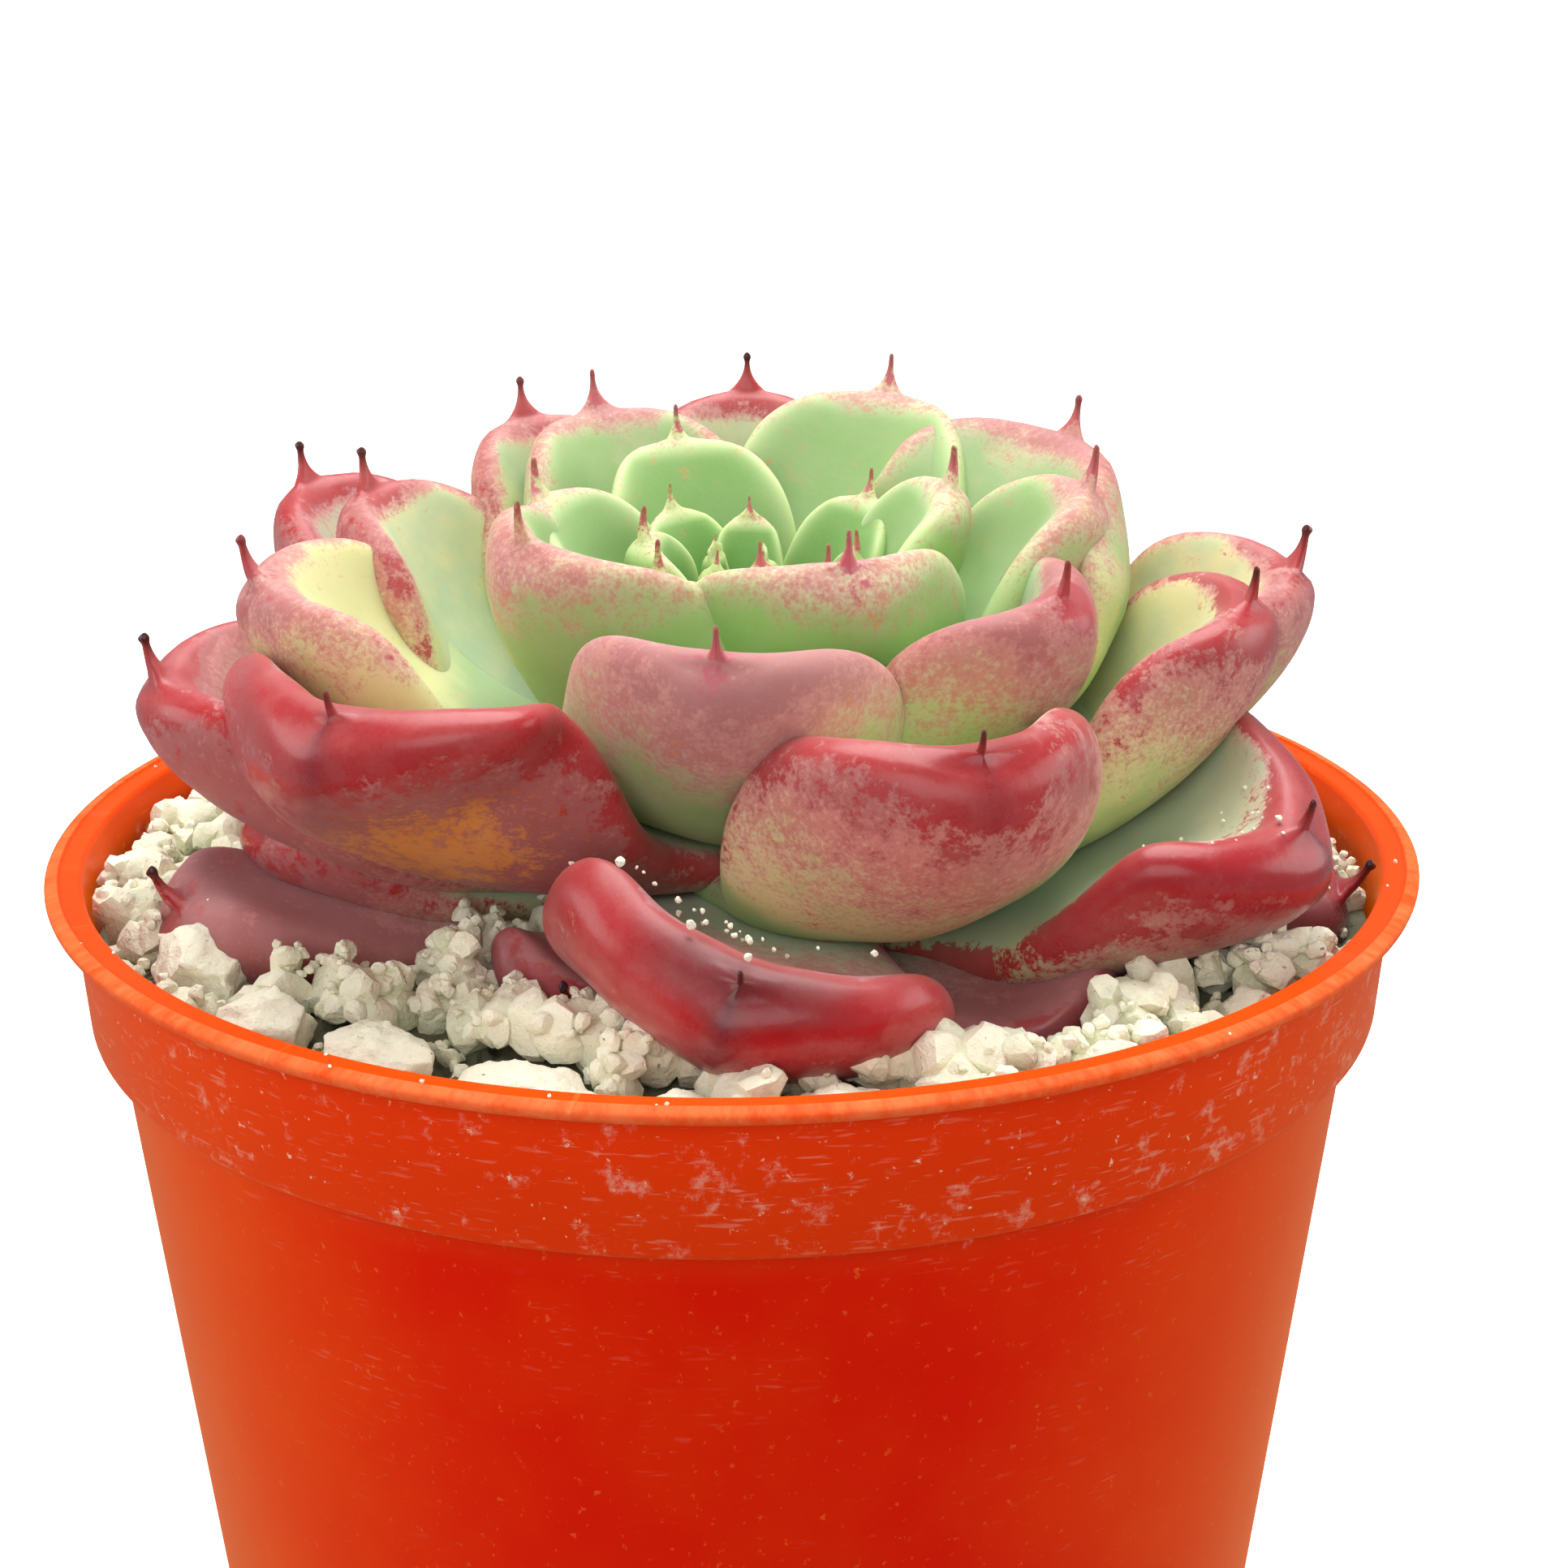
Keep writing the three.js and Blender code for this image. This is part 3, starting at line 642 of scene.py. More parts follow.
# Old wounds on single leaves: share of the blade from its root, and place across it from -1 to 1.
SCARS = {
    20: [(0.79, 0.3), (0.77, 0.38), (0.73, 0.2), (0.7, 0.32), (0.66, -0.45)],
    23: [(0.86, 0.0), (0.8, -0.2)],
    31: [(0.7, 0.3)],
    27: [(0.75, 0.4)],
}


def leaf_name(rank):
    return f"leaf_{rank + 1:02d}"


def rosette_matrix(settings):
    """Carries the upright rosette to its leaning place in the pot."""
    return Matrix.Translation(settings.offset) @ Matrix.Rotation(settings.lean, 4, "X")


def leaf_tip(rank, settings):
    """The end of the leaf's spine on the upright rosette: the CAD leaf's corner farthest from the collar."""
    upright = rosette_matrix(settings).inverted()
    corners = [upright @ v.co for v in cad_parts[leaf_name(rank)].data.vertices]
    return max(corners, key=lambda corner: corner.length)


def leaf_size(rank, settings):
    """The size and place of one leaf, from its rank in the spiral: 0 is the innermost."""
    age = rank / (LEAF_COUNT - 1)
    opening = ease(age, OPENING_AGE, OPEN_AGE)
    ripe = ease(age, 0, RIPE_AGE)
    roll, cup, skew = STRAY_CURLS.get(rank, (0, 0, 0))
    tip = leaf_tip(rank, settings)
    root = settings.stem_length * (1 - age) ** ROOT_POWER
    stem = lerp(settings.stem_foot, settings.stem_top, min(1, root / settings.stem_length))
    width = lerp(BUD_WIDTH, settings.leaf_width, ripe) + STRAY_WIDTHS.get(rank, 0) * MM
    thickness = lerp(BUD_THICKNESS, settings.leaf_thickness, ease(age, 0, THICK_AGE))
    return {
        "rank": rank,
        "age": age,
        "angle": math.atan2(tip.y, tip.x),
        "root": np.array([stem + GAP_TO_STEM, root]),
        "tip": np.array([math.hypot(tip.x, tip.y), tip.z]),
        "width": width,
        "thickness": thickness * FAT_LEAVES.get(rank, 1),
        "roll": math.radians(roll),
        "elbow_out": lerp(0.62, 0.78, opening),
        "elbow_up": lerp(0.15, 0.05, opening),
        "small": min(1, width / FULL_SPINE_WIDTH),
        "spine": SHORT_SPINES.get(rank, settings.spine_length / MM) * lerp(BUD_SPINE, 1, ripe) * MM,
        "knob": 0 if rank in SHORT_SPINES else 0.13 * ease(age, 0.4, 0.55),
        "cup": lerp(settings.young_cup, settings.old_cup, ease(age, CUPPING_AGE, CUPPED_AGE))
        + math.radians(cup),
        "most_cup": math.radians(lerp(75, 95, opening)),
        "skew": skew * MM,
    }


def leaf_midline(size, share):
    """Points and directions along the leaf's middle line, in the upright plane through the stem. It is one
    bent blade and then a spine that turns up. Also gives t, which is 1 where the blade ends, how far along
    the spine each point is, and its distance from the spine's end."""
    root, tip = size["root"], size["tip"]
    elbow = lerp(root, tip, np.array([size["elbow_out"], size["elbow_up"]]))
    spine_way = unit(unit(tip - elbow) + SPINE_UPTURN)
    foot = tip - size["spine"] * spine_way
    # The blade counts for less than its two legs' length, so that more rings fall on the spine.
    blade_length = np.linalg.norm(elbow - root) * 0.6 + np.linalg.norm(foot - elbow) * 0.6
    blade_share = blade_length / (blade_length + size["spine"])
    t = np.clip(share / blade_share, 0, 1)[:, None]
    s = np.clip((share - blade_share) / (1 - blade_share), 0, 1)[:, None]
    blade = (1 - t) ** 2 * root + 2 * t * (1 - t) * elbow + t**2 * foot
    blade_way = unit(2 * (1 - t) * (elbow - root) + 2 * t * (foot - elbow))
    end_way = unit(foot - elbow)
    point = blade + size["spine"] * s * lerp(end_way, spine_way, s)
    way = unit(np.where(s > 0, end_way + 2 * s * (spine_way - end_way), blade_way))
    from_tip = (1 - share) * (blade_length + size["spine"])
    return point, way, t[:, 0], s[:, 0], from_tip


def leaf_outline(size, t, from_tip):
    """Half width and half thickness along the leaf: a blunt spoon that draws in to a hollow-flanked spine."""
    grown = np.clip(t / WIDEST, 0, 1)
    past = np.clip((t - WIDEST) / (1 - WIDEST), 0, 1)
    closing = np.clip(1 - past**BLUNTNESS, 0, 1)
    width = lerp(ROOT_WIDTH, 1, np.sin(grown * math.pi / 2) ** 1.4) * closing ** (1 / BLUNTNESS)
    flesh = lerp(ROOT_THICKNESS, 1, np.sin(np.minimum(1, 1.1 * grown) * math.pi / 2))
    flesh = flesh * closing**TIP_FLESH_POWER
    small = size["small"]
    down = from_tip / (MM * small)
    # A whole spine ends in a small dark knob, and widens slowly down to its foot.
    knob = size["knob"] * np.exp(-(((down - 0.35) / 0.25) ** 2))
    flare = np.minimum(small * (SPINE_RADIUS + 0.05 * down**3 + knob) * MM, 0.35 * size["width"])
    core = small * (SPINE_RADIUS + 0.06 * np.minimum(down, 4) ** 1.6 + knob) * MM
    end = np.sqrt(np.clip(1 - (1 - np.clip(down / 0.3, 0, 1)) ** 2, 0, 1))
    merge = ease(down, 1.6, 5.6)
    half_width = soft_max(size["width"] / 2 * width, flare, (0.1 + 0.8 * merge) * MM * small) * end
    half_depth = soft_max(size["thickness"] / 2 * flesh, core, (0.1 + 0.3 * merge) * MM * small) * end
    return half_width, half_depth, width


def leaf_shape(size, row, turn):
    """Where each grid point of a leaf goes. Row runs from 0 at the root to 1 at the spine's end, and turn is
    the angle round the leaf's section. Also gives the numbers that its colouring follows."""
    share = 1 - (1 - row) ** 1.6
    point, way, t, spine, from_tip = leaf_midline(size, share)
    half_width, half_depth, width_share = leaf_outline(size, t, from_tip)
    across = np.cos(turn)
    depth = np.sin(turn)
    rng = np.random.default_rng(size["rank"] + 11)
    phase = rng.uniform(0, 2 * math.pi, 6)
    # The margins wave a little, and the outer face has a keel near the tip.
    half_width = half_width * (
        1 + 0.022 * np.sin(9 * t + phase[0] + 1.5 * np.sign(across)) * ease(t, 0, 0.5)
    )
    ridge = np.clip(1 - np.abs(across) * 1.6, 0, 1) ** 2
    keel = 1 + lerp(0.1, 0.42, ease(t, 0.6, 1)) * ridge
    section = np.sign(depth) * np.abs(depth) ** lerp(1.2, 0.8, ease(size["age"], 0, 0.7))
    side = half_width * np.sign(across) * np.abs(across) ** 0.85
    face = np.where(depth > 0, INNER_FACE, OUTER_FACE * keel) * half_depth * section
    # Its sides curl inwards, round the stem at the root and by their own cup towards the tip.
    wrap = half_width * np.maximum(0, way[:, 1]) / np.maximum(point[:, 0], 1.5 * MM)
    curl = size["cup"] * ease(t, 0.25, 1) * width_share
    cup = np.minimum(0.8 * wrap + curl, size["most_cup"]) * (1 - smooth(spine * 2))
    bend = np.maximum(cup / np.maximum(half_width, 0.5 * MM), 1e-3)
    lumps = np.sin(side / MM * 0.45 + phase[1]) * np.sin(t * 6 + phase[2])
    lumps = lumps + 0.5 * np.sin(side / MM * 0.9 + phase[3] + t * 5)
    lumpy = ease(t, 0, 0.3) * (1 - smooth(spine * 4)) * min(1, size["width"] / (16 * MM))
    face = face + 0.12 * MM * lumps * lumpy
    u = (1 / bend - face) * np.sin(side * bend)
    v = 1 / bend - (1 / bend - face) * np.cos(side * bend)
    roll = size["roll"] * smooth(1.3 * t)
    swing = size["skew"] * ease(t, 0, 0.6) * (1 - ease(t, 0.7, 1))
    sideways = u * np.cos(roll) - v * np.sin(roll) + swing
    inwards = u * np.sin(roll) + v * np.cos(roll)
    reach = point[:, 0] - inwards * way[:, 1]
    rise = point[:, 1] + inwards * way[:, 0]
    cos, sin = math.cos(size["angle"]), math.sin(size["angle"])
    points = np.stack([reach * cos - sideways * sin, reach * sin + sideways * cos, rise], axis=1)
    off_middle = np.abs(across) * half_width
    return points, {"t": t, "across": across, "depth": depth, "from_tip": from_tip, "off_middle": off_middle}


def leaf_colouring(size, at):
    """The painted numbers of one leaf: where it blushes, reddens, pales, keeps its bloom or is a spine."""
    looks = {name: float(np.interp(size["age"], AGES, row)) for name, row in LOOKS.items()}
    looks.update(STRAY_LOOKS.get(size["rank"], {}))
    amber = looks.get("amber", 0)
    t, across, from_tip = at["t"], np.abs(at["across"]), at["from_tip"]
    unit_length = MM * size["small"]
    old = ease(size["age"], REDDENING_AGE, RED_AGE)
    # Masks: the outer face, the upper half, the margin and tip, round the spine, down the keel and mid-face.
    outer = smooth(0.5 - 1.5 * at["depth"])
    high = ease(t, 0.45, 0.95)
    rim = np.maximum(across**8, ease(t, 0.92, 0.99))
    from_thorn = np.hypot(np.maximum(from_tip - 1.5 * unit_length, 0), at["off_middle"])
    thorn = np.exp(-((from_thorn / (lerp(1.3, 2.2, old) * unit_length)) ** 2))
    keel = np.exp(-((at["across"] / 0.09) ** 2)) * outer * smooth((10 - from_tip / MM) / 7)
    centre = np.exp(-(((t - 0.66) / 0.2) ** 2)) * np.exp(-((at["across"] - 0.25) ** 2) / 0.16) * outer
    scar = sum(
        np.exp(-(((t - along) / 0.014) ** 2) - ((at["across"] - side) / 0.04) ** 2) * outer
        for along, side in SCARS.get(size["rank"], [])
    )
    blush = 0.5 + 2.5 * (t - 1 + looks["blush"]) + 0.35 * rim * smooth(looks["blush"] / 0.2)
    # The inner face blushes less, most of all on an old leaf that isn't maroon yet.
    inner_loss = lerp(0.3, 1.1, old) * min(1, 1.6 - looks["maroon"])
    blush = blush - (1 - outer) * (1 - rim) * inner_loss
    crimson = looks["crimson"] * (0.12 + 0.4 * high + 0.5 * rim) * lerp(0.35, 1, np.maximum(outer, rim))
    crimson = crimson + lerp(0.7, 0.6, old) * thorn
    return {
        "age": size["age"],
        # Painted light: a pale glow painted along a young leaf's margins and tip.
        "glow": rim * (1 - ease(size["age"], 0.3, 0.6)) * 0.9,
        "cream": looks["cream"] * ease(t, 0.3, 0.6) * (0.8 + 0.3 * rim),
        "blush": np.clip(blush, 0, 1.6),
        "crimson": np.clip(crimson, 0, 1.2) * (1 - 0.75 * amber * centre),
        "maroon": np.clip(looks["maroon"] * lerp(0.35, 1, outer) + 0.4 * keel * looks["crimson"], 0, 1),
        "bloom": looks["bloom"] * lerp(1.5, 1, outer),
        "spine": smooth((2.1 * unit_length - from_tip) / (1.9 * unit_length)) * lerp(0.55, 1, old),
        "grey": looks["grey"] * (1 - outer) * (1 - 0.6 * rim),
        "amber": amber * centre,
        "scar": np.clip(scar, 0, 1),
    }


class SUCCULENT_OT_leaves(bpy.types.Operator):
    """Adds the leaves of the rosette, each in place of its CAD leaf"""

    bl_idname = "succulent.leaves"
    bl_label = "Add Leaves"

    def execute(self, context):
        settings = context.scene.succulent_rosette
        place = np.array(rosette_matrix(settings))
        skin = leaf_skin()
        for rank in range(LEAF_COUNT):
            size = leaf_size(rank, settings)
            deselect()
            segments, rings = (64, 80) if size["width"] > 8 * MM else (32, 44)
            bpy.ops.mesh.primitive_uv_sphere_add(segments=segments, ring_count=rings, radius=1)
            leaf = named(f"succulent_{leaf_name(rank)}")
            x, y, z = points_of(leaf).T
            points, at = leaf_shape(size, 1 - np.arccos(np.clip(z, -1, 1)) / math.pi, -np.arctan2(y, x))
            move_points(leaf, points @ place[:3, :3].T + place[:3, 3])
            bpy.ops.object.mode_set(mode="EDIT")
            bpy.ops.mesh.select_all(action="SELECT")
            bpy.ops.mesh.normals_make_consistent(inside=False)
            bpy.ops.object.mode_set(mode="OBJECT")
            bpy.ops.object.shade_smooth()
            paint(leaf, **leaf_colouring(size, at))
            finish_piece(leaf, skin, [leaf_name(rank)])
        return {"FINISHED"}


# ---- Stem ----


class SUCCULENT_OT_stem(bpy.types.Operator):
    """Adds the short stem that the leaves grow from"""

    bl_idname = "succulent.stem"
    bl_label = "Add Stem"

    def execute(self, context):
        settings = context.scene.succulent_rosette
        tall = settings.stem_length
        foot, top = settings.stem_foot, settings.stem_top
        profile = [
            (0.6 * foot, -9 * MM),
            (foot, -1 * MM),
            (foot, 0),
            (top, tall),
            (0.5 * top, tall + 1 * MM),
            (0.1 * MM, tall + 1.3 * MM),
        ]
        stem = turned("succulent_stem", divided(rounded(profile, 0.8 * MM), 0.7 * MM), 48)
        points = points_of(stem)
        x, y, z = points.T / MM
        ring = 1 + 0.04 * np.sin(2.6 * z) + 0.03 * np.sin(3 * np.arctan2(y, x) + z)
        points[:, :2] *= np.minimum(ring, 1.0)[:, None]
        move_points(stem, points)
        stem.data.transform(rosette_matrix(settings))
        only(stem)
        bpy.ops.object.shade_smooth_by_angle(angle=math.radians(50))
        finish_piece(stem, stem_bark(), ["stem"])
        return {"FINISHED"}


# ---- Pot ----


def pot_profile(pot):
    """The pot's section, from the edge of its underside up the outside, over the lip and down the inside."""
    mouth = RIM_RADIUS - pot.lip_width
    band = mouth + pot.wall
    band_foot = band - pot.band_taper
    step_height = POT_HEIGHT - pot.band_depth
    body = band_foot - pot.band_step
    slope = math.tan(pot.body_taper)
    base = body - step_height * slope
    shelf = step_height + pot.wall
    chamfer = 1.2 * MM
    under_lip = POT_HEIGHT - pot.lip_thickness
    step_line = 0.22 * MM
    outside = [
        (base - 6 * MM, 0),
        (base - chamfer, 0),
        (base + chamfer * slope, chamfer),
        (body, step_height - 0.1 * MM),
        (body + 0.1 * MM, step_height),
        (band_foot, step_height),
        (band, under_lip),
        (RIM_RADIUS - 0.1 * MM, under_lip),
        (RIM_RADIUS, POT_HEIGHT - step_line),
        (RIM_RADIUS - 0.85 * MM, POT_HEIGHT - 0.02 * MM),
        (RIM_RADIUS - 1.0 * MM, POT_HEIGHT - step_line),
        (mouth + 0.2 * MM, POT_HEIGHT - step_line),
    ]
    inside = [
        (mouth, POT_HEIGHT - 0.5 * MM),
        (band_foot - pot.wall, shelf),
        (body - pot.wall, shelf - 0.15 * MM),
        (base + pot.floor * slope - pot.wall, pot.floor),
        (base - 8 * MM, pot.floor),
    ]
    return divided(rounded(outside + inside, 0.35 * MM, 3), 2.4 * MM)


class SUCCULENT_OT_pot(bpy.types.Operator):
    """Adds the moulded nursery pot with its drain holes"""

    bl_idname = "succulent.pot"
    bl_label = "Add Pot"

    def execute(self, context):
        pot = context.scene.succulent_pot
        piece = turned("moulded_nursery_pot", pot_profile(pot), 240)
        deselect()
        for i in range(pot.drain_count):
            angle = (i + 0.5) * 2 * math.pi / pot.drain_count
            spot = (pot.drain_ring * math.cos(angle), pot.drain_ring * math.sin(angle), pot.floor / 2)
            bpy.ops.mesh.primitive_cylinder_add(
                vertices=48, radius=pot.drain_radius, depth=4 * pot.floor, location=spot
            )
            drill = named("drain_drill")
            apply_modifier(piece, "BOOLEAN", object=drill, operation="DIFFERENCE", solver="EXACT")
            bpy.data.objects.remove(drill)
        self.wear(piece, pot)
        only(piece)
        bpy.ops.object.shade_smooth_by_angle(angle=math.radians(40))
        finish_piece(piece, pot_plastic(pot.plastic), ["nursery_pot"])
        return {"FINISHED"}

    def wear(self, piece, pot):
        """Warps the thin wall slightly, and paints where it is rubbed, dusty, lipped or inside. The inside is
        painted darker and the front deeper red as painted shade, and the sides and back orange as painted
        light.
        """
        points = points_of(piece)
        radius = np.hypot(points[:, 0], points[:, 1])
        angle = np.arctan2(points[:, 1], points[:, 0])
        height = points[:, 2]
        wobble = np.sin(2 * angle + 0.7) + 0.5 * np.sin(3 * angle + 2.1)
        wobble = 0.12 * MM * wobble * smooth(height / POT_HEIGHT)
        points[:, :2] *= np.minimum(1, 1 + (wobble - 0.18 * MM) / np.maximum(radius, 1 * MM))[:, None]
        move_points(piece, points)
        mouth = RIM_RADIUS - pot.lip_width
        foot = POT_HEIGHT - pot.band_depth
        body_top = mouth + pot.wall - pot.band_taper - pot.band_step
        body_radius = body_top - (foot - height) * math.tan(pot.body_taper)
        in_body = (height < foot) & (radius < body_radius - 0.5 * pot.wall)
        in_band = (height >= foot) & (radius < mouth + 0.5 * pot.wall - pot.band_taper)
        top = smooth((height - (POT_HEIGHT - pot.lip_thickness * 1.2)) / (0.3 * MM))
        band = smooth((height - foot + 1 * MM) / (1.5 * MM)) * (1 - top)
        rubbed_lip = top * smooth((radius - RIM_RADIUS + 1.1 * MM) / (0.3 * MM))
        rubbed_step = np.exp(-(((height - foot) / (0.7 * MM)) ** 2)) * (radius > body_radius)
        from_front = np.abs(np.arctan2(points[:, 0], -points[:, 1]))
        paint(
            piece,
            worn=np.maximum(0.75 * rubbed_lip, 0.62 * rubbed_step),
            dusty=lerp(0.3, 0.58, band) + 0.1 * np.exp(-(((height - foot) / (14 * MM)) ** 2)),
            band=band * (radius > body_radius) * 0.6,
            # Painted light and shade: 0 on the front, which is painted a deeper red, and 1 on the sides and
            # back, which are painted orange.
            faded=ease(from_front, 0.35, 1.25),
            # Painted shade: marks the inside of the pot, which is painted darker.
            inside=np.where(in_body | in_band, 1.0, 0.0),
            lip=top,
        )


# ---- Grit ----


def rock(rng, rough):
    """Corners and faces of one angular pebble about 1 across, chipped flat on a few sides."""
    deselect()
    bpy.ops.mesh.primitive_ico_sphere_add(subdivisions=2, radius=0.5)
    pebble = named("pebble")
    points = points_of(pebble)
    for _ in range(9):
        way = unit(rng.normal(size=3))
        reach = rng.uniform(0.3, 0.44)
        over = np.maximum(points @ way - reach, 0)
        points = points - over[:, None] * way
    points = points + rng.normal(size=points.shape) * rough
    points *= rng.uniform(0.72, 1.1, 3)
    faces = np.array([list(polygon.vertices) for polygon in pebble.data.polygons])
    bpy.data.objects.remove(pebble)
    return points, faces


def spin_matrices(rng, count):
    """Random turns, from unit quaternions."""
    q = unit(rng.normal(size=(count, 4)))
    w, x, y, z = q.T
    rows = [
        [1 - 2 * (y * y + z * z), 2 * (x * y - z * w), 2 * (x * z + y * w)],
        [2 * (x * y + z * w), 1 - 2 * (x * x + z * z), 2 * (y * z - x * w)],
        [2 * (x * z - y * w), 2 * (y * z + x * w), 1 - 2 * (x * x + y * y)],
    ]
    return np.moveaxis(np.array(rows), 2, 0)


def scatter(name, rocks, places, sizes, turns, tones):
    """One mesh of many pebbles, each turned, sized and set in its place."""
    corners, faces, shades = [], [], []
    start = 0
    for i, (place, size, turn, tone) in enumerate(zip(places, sizes, turns, tones)):
        points, triangles = rocks[i % len(rocks)]
        corners.append(points @ turn.T * size + place)
        faces.append(triangles + start)
        shades.append(np.full(len(points), tone))
        start += len(points)
    mesh = bpy.data.meshes.new(name)
    mesh.from_pydata(np.concatenate(corners).tolist(), [], np.concatenate(faces).tolist())
    piece = bpy.data.objects.new(name, mesh)
    bpy.context.scene.collection.objects.link(piece)
    paint(piece, tone=np.concatenate(shades))
    return piece


def copied(node, name):
    """A copy of a CAD piece that starts a visible one, with its faces joined and in edit mode."""
    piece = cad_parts[node].copy()
    piece.data = piece.data.copy()
    piece.name = name
    for key in list(piece.keys()):
        del piece[key]
    piece.parent = None
    bpy.context.scene.collection.objects.link(piece)
    only(piece)
    bpy.ops.object.mode_set(mode="EDIT")
    bpy.ops.mesh.select_all(action="SELECT")
    bpy.ops.mesh.remove_doubles(threshold=0.01 * MM)
    return piece


def tree_of(names):
    """A search tree of the faces of some CAD nodes."""
    corners, faces = [], []
    for name in names:
        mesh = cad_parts[name].data
        start = len(corners)
        corners += [v.co.copy() for v in mesh.vertices]
        faces += [[start + i for i in polygon.vertices] for polygon in mesh.polygons]
    return BVHTree.FromPolygons(corners, faces)


def clear_of(tree, place, room):
    """Whether a grain of that room fits beside the faces of the tree, outside them all."""
    near, normal, _, distance = tree.find_nearest(place)
    return distance > room and (place - near).dot(normal) > 0


def pile(rng, settings, blocked):
    """Places and sizes of loose grains: the coarse ones lie on the bed, and finer ones fill in round them."""
    cell = 0.4 * MM
    half = int(BED_EDGE / cell) + 2
    bed_top = POT_HEIGHT - 4.9 * MM
    surface = np.full((2 * half + 1, 2 * half + 1), bed_top)
    steps = np.arange(-half, half + 1) * cell
    xs, ys = np.meshgrid(steps, steps, indexing="ij")
    size_share = rng.uniform(0, 1, settings.grains * 2) ** 3.2
    sizes = np.sort(lerp(settings.smallest, settings.largest, size_share))[::-1]
    places, kept = [], []
    for size in sizes:
        if len(kept) == settings.grains:
            break
        radius = (BED_EDGE - 0.4 * size) * math.sqrt(rng.uniform(0.05, 1))
        angle = rng.uniform(0, 2 * math.pi)
        x, y = radius * math.cos(angle), radius * math.sin(angle)
        under = (xs - x) ** 2 + (ys - y) ** 2 < (0.36 * size) ** 2
        if not under.any():
            continue
        ground = surface[under].mean()
        centre = ground + 0.26 * size
        if centre + 0.3 * size > bed_top + 4.2 * MM:
            continue
        place = Vector((x, y, centre))
        if not clear_of(blocked, place, 0.42 * size):
            continue
        places.append(place)
        kept.append(size)
        dome = np.sqrt(np.clip((0.42 * size) ** 2 - (xs - x) ** 2 - (ys - y) ** 2, 0, None))
        surface = np.where(dome > 0, np.maximum(surface, centre + dome * 0.8), surface)
    return np.array(places), np.array(kept)


